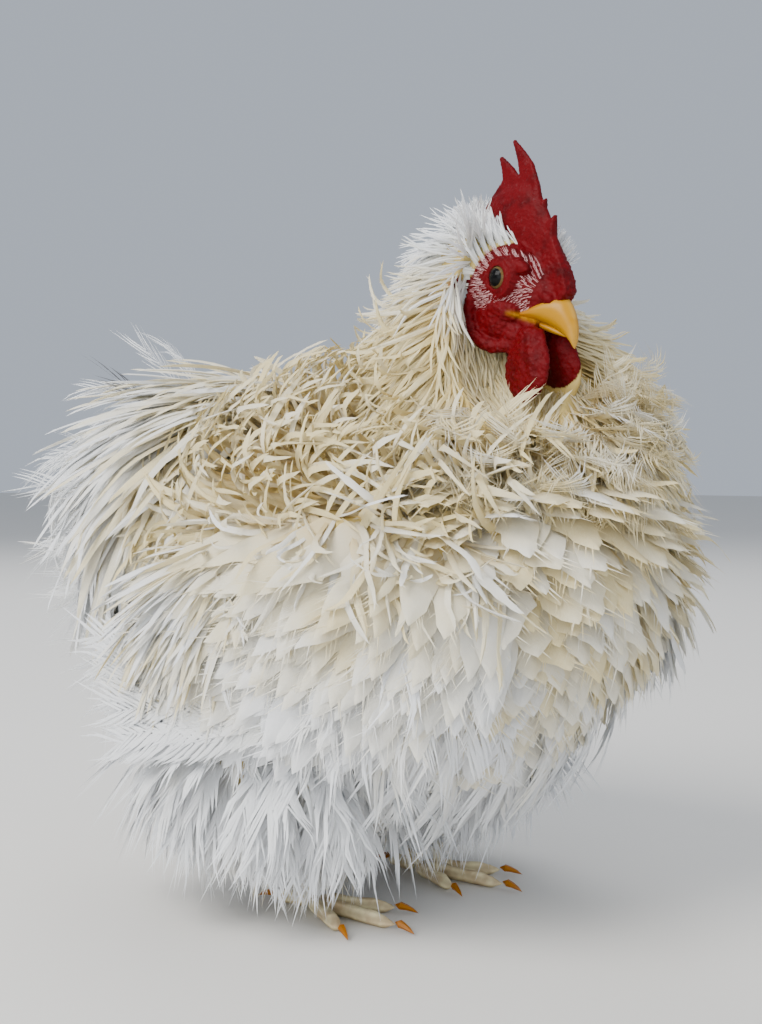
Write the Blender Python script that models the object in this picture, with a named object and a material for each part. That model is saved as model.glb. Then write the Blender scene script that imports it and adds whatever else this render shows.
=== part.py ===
"""A frizzle bantam cock, standing still, as the solids of its body and plumage.

Blender's metres, +Z up. The bird's body points along +X and its left side is +Y.
Sizes below are in millimetres, and MM turns them into metres when a mesh is made.
"""

import math

import bmesh
import bpy
from mathutils import Matrix, Vector

MM = 0.001
GAP = 0.3  # left between solids that meet

# Driving dimensions of the standing bird
BACK_HEIGHT = 216.0
BELLY_HEIGHT = 36.0
BODY_HALF_WIDTH = 94.0
HEAD_CENTRE = Vector((67.0, -6.0, 232.0))
HEAD_YAW = -12.0  # degrees, turned to the bird's right
HEAD_PITCH = 20.0  # degrees, beak down
EYE_RADIUS = 5.2
EYE_PLACE = Vector((4.0, 9.6, 3.0))  # along, beside and above the skull's centre
STANCE_HALF = 32.0  # from the midline to each foot
FOOT_AHEAD = -8.0  # where the toes meet
HOCK_HEIGHT = 66.0
SHANK_RADIUS = 4.6
TOE_RADIUS = 3.5
TUFT = 3.2  # how far the clumps of feathers stand out

LEFT, RIGHT = 1, -1
SIDES = (("right", RIGHT), ("left", LEFT))


def clear_scene():
    for obj in list(bpy.data.objects):
        bpy.data.objects.remove(obj, do_unlink=True)


def finish(name, colour, roughness):
    """A Principled material of one colour."""
    made = bpy.data.materials.get(name) or bpy.data.materials.new(name)
    made.use_nodes = True
    shader = made.node_tree.nodes["Principled BSDF"]
    shader.inputs["Base Color"].default_value = (*colour, 1.0)
    shader.inputs["Roughness"].default_value = roughness
    shader.inputs["Metallic"].default_value = 0.0
    return made


def plumage():
    return finish("cream_plumage", (0.87, 0.82, 0.68), 0.8)


def white_plumage():
    return finish("white_plumage", (0.90, 0.89, 0.86), 0.8)


def red_skin():
    return finish("red_skin", (0.62, 0.03, 0.05), 0.5)


def yellow_horn():
    return finish("yellow_horn", (0.90, 0.62, 0.10), 0.35)


def yellow_scales():
    return finish("yellow_scales", (0.85, 0.62, 0.25), 0.6)


def eye_gloss():
    return finish("eye_gloss", (0.20, 0.07, 0.02), 0.08)


def through(rows, count):
    """count rows on a smooth curve through the given rows of numbers."""
    made = []
    last = len(rows) - 1
    for k in range(count):
        place = k * last / (count - 1)
        i = min(int(place), last - 1)
        t = place - i
        before, a, b, after = (
            Vector(rows[max(0, min(last, i + step))]) for step in (-1, 0, 1, 2)
        )
        slope_a, slope_b = (b - before) / 2, (after - a) / 2
        made.append(
            a * (2 * t**3 - 3 * t**2 + 1)
            + slope_a * (t**3 - 2 * t**2 + t)
            + b * (3 * t**2 - 2 * t**3)
            + slope_b * (t**3 - t**2)
        )
    return made


def link(name, mesh, look):
    mesh.materials.append(look)
    mesh.shade_smooth()
    obj = bpy.data.objects.new(name, mesh)
    bpy.context.scene.collection.objects.link(obj)
    return obj


def skin_rings(bm, rings, first, last):
    """Faces over rings of points, closed at each end by a point."""
    loops = [[bm.verts.new(p * MM) for p in ring] for ring in rings]
    for a, b in zip(loops, loops[1:]):
        for j in range(len(a)):
            k = (j + 1) % len(a)
            bm.faces.new((a[j], a[k], b[k], b[j]))
    for loop, tip in ((loops[0], first), (loops[-1], last)):
        end = bm.verts.new(tip * MM)
        for j in range(len(loop)):
            bm.faces.new((loop[j], loop[(j + 1) % len(loop)], end))


def solid(name, shells, look):
    """One object from shells of (rings, first point, last point)."""
    bm = bmesh.new()
    for rings, first, last in shells:
        skin_rings(bm, rings, first, last)
    bmesh.ops.recalc_face_normals(bm, faces=bm.faces)
    bmesh.ops.triangulate(bm, faces=bm.faces)
    mesh = bpy.data.meshes.new(name)
    bm.to_mesh(mesh)
    bm.free()
    return link(name, mesh, look)


def tuft_height(i, j, half):
    """Clumps of feathers: every second corner of the net stands out, less where it is thin."""
    return TUFT * min(1.0, half / (6 * TUFT)) if (i + j) % 2 else 0.0


def lengthwise_shell(table, count, segments, ruffled=True, squareness=1.0):
    """Rings across X from rows of x, middle y, half width, lowest z and highest z."""
    rows = through(table, count)
    rings = []
    for i, (x, y, half, low, high) in enumerate(rows[1:-1]):
        ring = []
        for j in range(segments):
            angle = 2 * math.pi * j / segments
            side, up = math.sin(angle), math.cos(angle)
            side = math.copysign(abs(side) ** squareness, side)
            up = math.copysign(abs(up) ** squareness, up)
            out = tuft_height(i, j, half) if ruffled else 0.0
            ring.append(
                Vector(
                    (
                        x + out,
                        y + (half + out) * side,
                        (low + high) / 2 + ((high - low) / 2 + out) * up,
                    )
                )
            )
        rings.append(ring)
    ends = [Vector((r[0], r[1], (r[3] + r[4]) / 2)) for r in (rows[0], rows[-1])]
    return rings, ends[0], ends[1]


def upright_shell(table, count, segments, ruffled=True):
    """Rings across Z from rows of z, middle x and y, and reach ahead, behind, left and right."""
    rows = through(table, count)
    rings = []
    for i, (z, x, y, ahead, behind, left, right) in enumerate(rows[1:-1]):
        ring = []
        for j in range(segments):
            angle = 2 * math.pi * j / segments
            along, side = math.cos(angle), math.sin(angle)
            reach = ahead if along > 0 else behind
            beside = left if side > 0 else right
            out = tuft_height(i, j, beside) if ruffled else 0.0
            ring.append(
                Vector((x + (reach + out) * along, y + (beside + out) * side, z))
            )
        rings.append(ring)
    ends = [Vector((r[1], r[2], r[0])) for r in (rows[0], rows[-1])]
    return rings, ends[0], ends[1]


def tube_shell(points, radii, segments, across, flat=1.0):
    """Rings along points, widest along across. flat is the thickness as a share of that."""
    rings = []
    for i in range(1, len(points) - 1):
        along = (points[i + 1] - points[i - 1]).normalized()
        side = (across - along * across.dot(along)).normalized()
        up = along.cross(side)
        rings.append(
            [
                points[i]
                + side * math.cos(2 * math.pi * j / segments) * radii[i]
                + up * math.sin(2 * math.pi * j / segments) * radii[i] * flat
                for j in range(segments)
            ]
        )
    return rings, points[0], points[-1]


def ahead_of(yaw, pitch=0.0):
    """The direction at those degrees from +X, turned to the left and raised."""
    turn, rise = math.radians(yaw), math.radians(pitch)
    return Vector(
        (
            math.cos(turn) * math.cos(rise),
            math.sin(turn) * math.cos(rise),
            math.sin(rise),
        )
    )


def plume_shell(root, yaw, rise, length, half_width, droop, across=None):
    """One large feather: a flat blade that leaves its root at an angle and droops."""
    steps, thinness = 5, 0.24
    points, radii = [Vector(root)], [0.0]
    for k in range(steps):
        pitch = rise - droop * (k + 0.5) / steps
        points.append(points[-1] + ahead_of(yaw, pitch) * (length / steps))
        radii.append(half_width * math.sin(math.pi * (0.12 + 0.80 * (k + 1) / steps)))
    return tube_shell(points, radii, 4, across or ahead_of(yaw + 90), thinness)


def combine(obj, other, operation):
    """A Boolean of the two, done at once, so that the next one meets the true shape."""
    modifier = obj.modifiers.new(operation.lower(), "BOOLEAN")
    modifier.operation = operation
    modifier.object = other
    graph = bpy.context.evaluated_depsgraph_get()
    obj.data = bpy.data.meshes.new_from_object(obj.evaluated_get(graph))
    obj.modifiers.clear()
    bpy.data.objects.remove(other, do_unlink=True)


def join(obj, others):
    """The others become one body with obj."""
    for other in others:
        combine(obj, other, "UNION")
    return obj


def box_of(obj):
    corners = [vertex.co for vertex in obj.data.vertices]
    low = Vector(min(c[k] for c in corners) for k in range(3))
    high = Vector(max(c[k] for c in corners) for k in range(3))
    return low, high


def boxes_meet(obj, other):
    (low_a, high_a), (low_b, high_b) = box_of(obj), box_of(other)
    return all(
        low_a[k] - GAP * MM < high_b[k] and low_b[k] - GAP * MM < high_a[k] for k in range(3)
    )


def keep_main_body(obj):
    """Drops the slivers that a cut leaves beside the piece."""
    bm = bmesh.new()
    bm.from_mesh(obj.data)
    bodies, left = [], set(bm.verts)
    while left:
        body, edge_of_body = set(), [left.pop()]
        while edge_of_body:
            vertex = edge_of_body.pop()
            body.add(vertex)
            for edge in vertex.link_edges:
                other = edge.other_vert(vertex)
                if other in left:
                    left.remove(other)
                    edge_of_body.append(other)
        bodies.append(body)
    main_body = max(bodies, key=len)
    slivers = [vertex for vertex in bm.verts if vertex not in main_body]
    bmesh.ops.delete(bm, geom=slivers, context="VERTS")
    bm.to_mesh(obj.data)
    bm.free()


def grown_copy(obj):
    """The object's shape, a gap larger all round."""
    mesh = obj.data.copy()
    bm = bmesh.new()
    bm.from_mesh(mesh)
    outward = [vertex.normal * min(vertex.calc_shell_factor(), 8.0) for vertex in bm.verts]
    for vertex, normal in zip(bm.verts, outward):
        vertex.co += normal * GAP * MM
    bm.to_mesh(mesh)
    bm.free()
    return mesh


def make_room_in_turn(nodes):
    """Each node gives way to the whole shape of those before it in the list, largest first."""
    rooms = [grown_copy(node) for node in nodes]
    for k, node in enumerate(nodes):
        for room, earlier in reversed(list(zip(rooms[:k], nodes))):
            if boxes_meet(node, earlier):
                cutter = bpy.data.objects.new(f"room_for_{earlier.name}", room)
                bpy.context.scene.collection.objects.link(cutter)
                combine(node, cutter, "DIFFERENCE")
        keep_main_body(node)


def head_place():
    return (
        Matrix.Translation(HEAD_CENTRE * MM)
        @ Matrix.Rotation(math.radians(HEAD_YAW), 4, "Z")
        @ Matrix.Rotation(math.radians(HEAD_PITCH), 4, "Y")
    )


def on_head(obj):
    obj.data.transform(head_place())
    return obj


def make_head():
    """The skull under its short feathers. Rows are x, y, half width, lowest and highest z."""
    table = (
        (-27, 0, 0, 0, 2),
        (-23, 0, 9, -9, 11),
        (-14, 0, 13.2, -15, 15.5),
        (-4, 0, 14.6, -17, 17),
        (5, 0, 13.8, -16.5, 16.2),
        (13, 0, 11.2, -14.5, 13),
        (20, 0, 7.8, -12, 8),
        (26, 0, 4.6, -9, 3.5),
        (28, 0, 0, -5, 1),
    )
    return on_head(solid("head", [lengthwise_shell(table, 12, 16, False)], red_skin()))


def make_beak():
    """Upper and lower bill. The upper one hooks over the lower."""
    upper = (
        (11, 0, 0, -5, 0),
        (13, 0, 6.6, -7.2, 3.5),
        (20, 0, 6.0, -7.3, 4.0),
        (26, 0, 4.9, -7.6, 2.6),
        (31, 0, 3.7, -8.4, -0.3),
        (35, 0, 2.4, -10.4, -4.0),
        (37.6, 0, 1.3, -12.2, -8.2),
        (38.4, 0, 0, -12.6, -11.0),
    )
    lower = (
        (11, 0, 0, -11, -9),
        (13, 0, 5.6, -12.6, -7.9),
        (20, 0, 4.8, -12.4, -7.9),
        (26, 0, 3.4, -11.9, -8.2),
        (30, 0, 2.0, -11.2, -8.9),
        (32, 0, 0, -10.6, -9.6),
    )
    made = [
        on_head(solid(name, [lengthwise_shell(table, 9, 10, False)], yellow_horn()))
        for name, table in (("beak_upper", upper), ("beak_lower", lower))
    ]
    return made


def make_eyes():
    made = []
    for name, side in SIDES:
        bm = bmesh.new()
        bmesh.ops.create_uvsphere(bm, u_segments=10, v_segments=6, radius=EYE_RADIUS * MM)
        place = Vector((EYE_PLACE.x, EYE_PLACE.y * side, EYE_PLACE.z))
        turn = Matrix.Rotation(math.radians(90), 4, "X")
        bmesh.ops.transform(bm, matrix=Matrix.Translation(place * MM) @ turn, verts=bm.verts)
        mesh = bpy.data.meshes.new(f"eye_{name}")
        bm.to_mesh(mesh)
        bm.free()
        made.append(on_head(link(f"eye_{name}", mesh, eye_gloss())))
    return made


def make_comb():
    """A single upright comb, thick where it grows from the skull and thin at its edge."""
    edge_half, base_half = 1.0, 2.9
    edge = (  # x, z, from the beak up over the points and down the back
        (30.0, 6.0),
        (24.6, 11.5),
        (19.6, 16.0),
        (14.0, 21.0),
        (10.8, 27.2),
        (7.8, 24.8),
        (6.8, 28.0),
        (5.0, 32.8),
        (3.8, 30.4),
        (0.0, 36.5),
        (-5.4, 42.5),
        (-10.8, 45.6),
        (-17.6, 48.6),
        (-18.2, 47.8),
        (-13.4, 42.0),
        (-10.0, 36.4),
        (-15.6, 39.4),
        (-22.4, 41.8),
        (-22.8, 40.8),
        (-18.2, 34.0),
        (-21.0, 28.0),
        (-24.0, 22.0),
        (-24.0, 13.0),
    )
    base = ((-20, 6), (-13, 9.5), (-4, 11), (6, 9.5), (15, 7), (22, 3.5), (28, 1))
    bm = bmesh.new()
    sides = []
    for side in (RIGHT, LEFT):
        points = [(x, edge_half * side, z) for x, z in edge]
        points += [(x, base_half * side, z) for x, z in base]
        sides.append([bm.verts.new(Vector(point) * MM) for point in points])
    for blade in sides:
        bm.faces.new(blade)
    count = len(sides[0])
    for j in range(count):
        k = (j + 1) % count
        bm.faces.new((sides[0][j], sides[0][k], sides[1][k], sides[1][j]))
    bmesh.ops.recalc_face_normals(bm, faces=bm.faces)
    bmesh.ops.triangulate(bm, faces=bm.faces)
    mesh = bpy.data.meshes.new("comb")
    bm.to_mesh(mesh)
    bm.free()
    return on_head(link("comb", mesh, red_skin()))


def make_wattles():
    """Two flat lobes that hang straight down from the jaw and part a little."""
    table = (  # drop, reach ahead and behind the middle, half thickness
        (0, 0.5, 0.5),
        (2.5, 6.5, 3.0),
        (10, 9.0, 3.3),
        (18, 10.4, 3.1),
        (25, 9.0, 2.7),
        (30.5, 5.4, 2.1),
        (34, 0.5, 0.5),
    )
    heading = Matrix.Rotation(math.radians(HEAD_YAW), 3, "Z")
    segments, splay = 8, 0.10
    made = []
    for name, side in SIDES:
        top = head_place() @ (Vector((18.5, 6.2 * side, -9.5)) * MM) / MM
        rings = []
        for drop, reach, half in through(table, 9):
            middle = top + heading @ Vector((drop * 0.04, drop * splay * side, 0))
            ring = []
            for j in range(segments):
                angle = 2 * math.pi * j / segments
                out = Vector((reach * math.cos(angle), half * math.sin(angle), 0))
                ring.append(middle + heading @ out - Vector((0, 0, drop)))
            rings.append(ring)
        ends = [sum(ring, Vector()) / segments for ring in (rings[0], rings[-1])]
        made.append(
            solid(f"wattle_{name}", [(rings[1:-1], ends[0], ends[1])], red_skin())
        )
    return made


def make_ear_lobes():
    made = []
    for name, side in SIDES:
        table = (  # z, x, y, and reach ahead, behind, left and right
            (-25.0, 3.0, 11.5 * side, 0, 0, 0, 0),
            (-22.5, 3.0, 11.8 * side, 5.0, 4.5, 2.2, 2.2),
            (-16.0, 1.0, 12.6 * side, 7.6, 7.0, 3.0, 3.0),
            (-9.0, -1.5, 13.2 * side, 6.8, 7.2, 2.8, 2.8),
            (-3.5, -4.5, 13.4 * side, 3.6, 4.4, 2.0, 2.0),
            (-1.5, -5.5, 13.2 * side, 0, 0, 0, 0),
        )
        made.append(
            on_head(
                solid(f"ear_lobe_{name}", [upright_shell(table, 7, 8, False)], red_skin())
            )
        )
    return made


def face_hollow():
    """The room that the ruff leaves round the face, out to its front and right."""
    bm = bmesh.new()
    bmesh.ops.create_uvsphere(bm, u_segments=14, v_segments=9, radius=1.0)
    for vertex in bm.verts:
        reach = Vector((45.0, 30.0, 41.0))
        vertex.co = Vector(vertex.co[k] * reach[k] for k in range(3)) * MM
    heading = Matrix.Rotation(math.radians(HEAD_YAW - 32), 4, "Z")
    place = Matrix.Translation((HEAD_CENTRE + Vector((26, -20, -10))) * MM)
    bmesh.ops.transform(bm, matrix=place @ heading, verts=bm.verts)
    bmesh.ops.triangulate(bm, faces=bm.faces)
    mesh = bpy.data.meshes.new("face_hollow")
    bm.to_mesh(mesh)
    bm.free()
    return link("face_hollow", mesh, plumage())


def make_neck():
    """The hackle ruff, fuller on the left because the head is turned to the right."""
    table = (  # z, x, y, and reach ahead, behind, left and right
        (134, 46, 0, 0, 0, 0, 0),
        (142, 46, 0, 56, 50, 62, 50),
        (162, 48, 2, 72, 60, 82, 66),
        (184, 50, 4, 68, 58, 86, 64),
        (203, 52, 6, 58, 54, 82, 60),
        (221, 53, 8, 46, 50, 68, 56),
        (238, 54, 6, 34, 44, 50, 48),
        (252, 54, 2, 22, 34, 32, 34),
        (263, 54, -2, 12, 20, 18, 20),
        (268, 54, -3, 0, 0, 0, 0),
    )
    neck = solid("neck", [upright_shell(table, 14, 20)], plumage())
    combine(neck, face_hollow(), "DIFFERENCE")
    return neck


def make_wings():
    """Folded wings on the flanks, with the long feathers fanned at the back."""
    made = []
    for name, side in SIDES:
        table = (  # x, y, half thickness, lowest z, highest z
            (104, 54 * side, 0, 114, 126),
            (96, 60 * side, 9, 102, 148),
            (76, 74 * side, 13, 90, 160),
            (46, 85 * side, 14, 81, 163),
            (12, 89 * side, 13, 77, 158),
            (-18, 90 * side, 10, 75, 146),
            (-40, 90 * side, 7, 78, 128),
            (-52, 90 * side, 0, 86, 112),
        )
        wing = solid(f"wing_{name}", [lengthwise_shell(table, 11, 12)], plumage())
        quills = []
        for k in range(5):
            share = k / 4
            shell = plume_shell(
                root=(-12, (86 + 6 * share) * side, 84 + 44 * share),
                yaw=180 - side * (2 + 4 * share),
                rise=-10 + 14 * share,
                length=50 - 10 * share,
                half_width=7.5,
                droop=10 - 18 * share,
                across=Vector((0, 0, 1)),
            )
            quills.append(solid(f"quill_{name}_{k}", [shell], plumage()))
        made.append(join(wing, quills))
    return made


def make_thighs():
    """The fluff of each thigh, which hangs almost to the floor."""
    rows = (  # z, x, y, and reach ahead, behind, outwards and inwards
        (98, -10, 44, 0, 0, 0, 0),
        (90, -10, 44, 38, 46, 36, 32),
        (68, -10, 43, 50, 62, 42, 37),
        (48, -8, 42, 46, 58, 40, 36),
        (33, -4, 39, 37, 46, 34, 32),
        (23, 0, 36, 23, 28, 23, 22),
        (18, 2, 35, 0, 0, 0, 0),
    )
    made = []
    for name, side in SIDES:
        table = [
            (z, x, y * side, ahead, behind, *((out, into) if side == LEFT else (into, out)))
            for z, x, y, ahead, behind, out, into in rows
        ]
        made.append(
            solid(f"thigh_{name}", [upright_shell(table, 8, 14)], white_plumage())
        )
    return made


def make_saddle():
    """The cushion over the rump. Rows are x, y, half width, lowest z, highest z."""
    table = (
        (-4, 0, 0, 176, 190),
        (-16, 0, 46, 156, 208),
        (-42, 0, 72, 122, 214),
        (-70, 0, 82, 92, 217),
        (-94, 0, 78, 84, 216),
        (-109, 0, 60, 96, 209),
        (-114, 0, 0, 146, 174),
    )
    return solid("saddle", [lengthwise_shell(table, 10, 18)], plumage())


def make_tail():
    """The full soft tail, with the long feathers that arch over and out to its sides."""
    table = (
        (-84, 0, 0, 140, 160),
        (-94, 0, 52, 80, 208),
        (-110, 0, 68, 72, 219),
        (-126, 0, 64, 74, 218),
        (-140, 0, 50, 84, 206),
        (-150, 0, 30, 104, 186),
        (-154, 0, 0, 140, 160),
    )
    tail = solid("tail", [lengthwise_shell(table, 10, 16)], white_plumage())
    arches = (  # x, y, z, yaw, rise, length, half width, droop
        (-112, 10, 205, 192, 22, 72, 8, 104),
        (-112, 28, 198, 202, 18, 66, 8, 104),
        (-108, 42, 184, 214, 12, 52, 8, 90),
        (-118, 36, 150, 200, -16, 48, 9, 62),
    )
    plumes = []
    for k, (x, y, z, yaw, rise, length, half, droop) in enumerate(arches):
        for name, side in SIDES:
            shell = plume_shell(
                (x, y * side, z), 180 - (yaw - 180) * side, rise, length, half, droop
            )
            plumes.append(solid(f"arch_{name}_{k}", [shell], white_plumage()))
    return join(tail, plumes)


def make_trunk():
    """Breast, belly and back in one. Rows are x, y, half width, lowest z, highest z."""
    wide, low, high = BODY_HALF_WIDTH, BELLY_HEIGHT, BACK_HEIGHT
    table = (
        (-118, 0, 0, 100, 130),
        (-106, 0, 46, 70, 168),
        (-84, 0, 72, 50, 196),
        (-50, 0, wide - 9, low + 2, high - 8),
        (-10, 0, wide, low, high - 4),
        (34, 0, wide - 4, low + 6, high - 12),
        (68, 0, wide - 14, low + 24, high - 20),
        (94, 0, wide - 30, low + 50, high - 28),
        (111, 0, wide - 52, low + 76, high - 38),
        (119, 0, 0, low + 98, high - 60),
    )
    return solid("trunk", [lengthwise_shell(table, 16, 22)], plumage())


def toe_shell(start, yaw, length, radius):
    """A toe along the floor, with its joints. The flat under it is the sole."""
    ahead = ahead_of(yaw)
    steps, sides = 7, 6
    points, radii = [], []
    for k in range(steps + 1):
        share = k / steps
        radii.append(radius * (1.0 - 0.28 * share + 0.10 * math.cos(share * 6 * math.pi)))
        height = radii[-1] * math.cos(math.pi / sides)
        points.append(start + ahead * length * share + Vector((0, 0, height)))
    return tube_shell(points, radii, sides, ahead_of(yaw + 90))


def claw_shell(start, yaw, length, radius):
    """A claw that leaves the toe forwards and curves down almost to the floor."""
    ahead = ahead_of(yaw)
    steps = 4
    points, radii = [], []
    for k in range(steps + 1):
        share = k / steps
        height = radius + 1.4 - (radius + 0.7) * share**2
        points.append(start + ahead * length * (share - 0.15) + Vector((0, 0, height)))
        radii.append(radius * (1 - 0.8 * share))
    return tube_shell(points, radii, 6, ahead_of(yaw + 90))


def make_feet():
    """Shanks with four toes each, their claws, and the fan of plumes beside each foot."""
    toes = (  # name, yaw outwards from straight ahead, length
        ("inner", -26, 34),
        ("middle", 2, 44),
        ("outer", 30, 36),
        ("hind", 172, 17),
    )
    steps = 7
    feet, claws, plumes = [], [], []
    for name, side in SIDES:
        ankle = Vector((FOOT_AHEAD, STANCE_HALF * side, 0))
        hock = ankle + Vector((-8, side, HOCK_HEIGHT))
        line, widths = [], []
        for k in range(steps + 1):
            share = k / steps
            line.append(hock.lerp(ankle + Vector((0, 0, 2.5)), share))
            widths.append(SHANK_RADIUS * (1 + 0.25 * abs(2 * share - 1) ** 3))
        shank = solid(
            f"foot_{name}", [tube_shell(line, widths, 8, ahead_of(90))], yellow_scales()
        )
        digits = []
        for toe, out, length in toes:
            yaw = out * side
            digit = toe_shell(ankle, yaw, length, TOE_RADIUS)
            digits.append(solid(f"toe_{toe}_{name}", [digit], yellow_scales()))
            claw = claw_shell(ankle + ahead_of(yaw) * length, yaw, 9.5, 1.9)
            claws.append(solid(f"claw_{toe}_{name}", [claw], yellow_horn()))
        feet.append(join(shank, digits))
        fans = []
        for k in range(4):
            blade = plume_shell(
                ankle + Vector((-2, 3 * side, 20 - 2 * k)),
                yaw=side * (40 + 28 * k),
                rise=-6,
                length=34 - 2 * k,
                half_width=6.5,
                droop=34,
            )
            fans.append(solid(f"fan_{name}_{k}", [blade], white_plumage()))
        plumes.append(join(fans[0], fans[1:]))
        plumes[-1].name = f"foot_plumes_{name}"
    return feet, claws, plumes


def stand_on_origin(nodes):
    """Moves the bird so that the middle of its box is over the origin, on the floor."""
    boxes = [box_of(node) for node in nodes]
    low = Vector(min(box[0][k] for box in boxes) for k in range(3))
    high = Vector(max(box[1][k] for box in boxes) for k in range(3))
    shift = Vector((-(low.x + high.x) / 2, -(low.y + high.y) / 2, -low.z))
    for node in nodes:
        node.data.transform(Matrix.Translation(shift))


def main():
    clear_scene()
    feet, claws, plumes = make_feet()
    nodes = [
        *make_eyes(),
        *make_beak(),
        make_comb(),
        *make_wattles(),
        *make_ear_lobes(),
        make_head(),
        *make_wings(),
        make_neck(),
        *claws,
        *feet,
        *plumes,
        *make_thighs(),
        make_saddle(),
        make_tail(),
        make_trunk(),
    ]
    make_room_in_turn(nodes)
    stand_on_origin(nodes)


main()
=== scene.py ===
"""The looks of a frizzle bantam cock: one skin, eyes, bill, claws and a coat of curled feathers.

Sizes are in millimetres in the bird's own frame (+X ahead, +Y its left, +Z up) until a mesh is
made, which is in the model's metres. Angles are in degrees until they are used.
"""

import math

import bmesh
import bpy
import numpy as np
from mathutils import Matrix, Vector, noise


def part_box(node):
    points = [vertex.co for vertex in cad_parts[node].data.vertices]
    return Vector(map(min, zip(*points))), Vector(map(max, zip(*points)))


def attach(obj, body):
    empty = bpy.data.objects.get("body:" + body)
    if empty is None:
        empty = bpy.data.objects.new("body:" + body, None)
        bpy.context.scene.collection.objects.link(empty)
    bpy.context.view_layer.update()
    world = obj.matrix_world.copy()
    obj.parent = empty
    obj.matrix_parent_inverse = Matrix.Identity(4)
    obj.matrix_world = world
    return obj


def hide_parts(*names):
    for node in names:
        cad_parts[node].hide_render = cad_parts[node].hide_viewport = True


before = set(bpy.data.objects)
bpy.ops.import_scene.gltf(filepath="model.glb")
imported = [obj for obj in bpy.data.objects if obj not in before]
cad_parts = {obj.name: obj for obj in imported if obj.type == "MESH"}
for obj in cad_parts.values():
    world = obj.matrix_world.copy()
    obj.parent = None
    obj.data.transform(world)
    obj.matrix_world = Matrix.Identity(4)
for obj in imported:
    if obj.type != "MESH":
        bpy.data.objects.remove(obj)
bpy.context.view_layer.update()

bl_info = {
    "name": "Frizzle Bantam Cock",
    "version": (1, 0, 0),
    "blender": (4, 5, 0),
    "location": "3D View > Sidebar > Frizzle",
    "description": "Builds the skin, eyes, bill, claws and curled coat of a life-size frizzle bantam",
    "category": "Object",
}

MM = 0.001
LEFT, RIGHT = 1, -1
SIDES = (("right", RIGHT), ("left", LEFT))
AHEAD, BESIDE, UP = np.eye(3)
DOWN = -UP
PATCH = 0.003  # across a feather's patch on its piece's map
FEATHER_VARIANTS = 6
FLOOR_GAP = 0.3  # the least height of a feather over the floor

# The head's own axes: its centre, and the turn and bend of the neck
HEAD_CENTRE = Vector((67.0, -6.0, 232.0))
HEAD_YAW = -12.0
HEAD_PITCH = 20.0
EYE_RADIUS = 5.2
EYE_PLACE = Vector((4.0, 9.6, 3.0))
LID_RADIUS = 3.9
HEADING = Matrix.Rotation(math.radians(HEAD_YAW), 4, "Z")
HEAD = (
    Matrix.Translation(HEAD_CENTRE) @ HEADING @ Matrix.Rotation(math.radians(HEAD_PITCH), 4, "Y")
)
HEAD_TURN = np.array(HEAD)[:3, :3]


def frame_shift():
    """From the bird's own frame to the model's, in mm, as the two eyes' places tell it."""
    corners = [*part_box("eye_right"), *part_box("eye_left")]
    middle = sum(corners, Vector()) / len(corners) / MM
    return middle - HEAD @ Vector((EYE_PLACE.x, 0.0, EYE_PLACE.z))


SHIFT = frame_shift()


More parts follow.
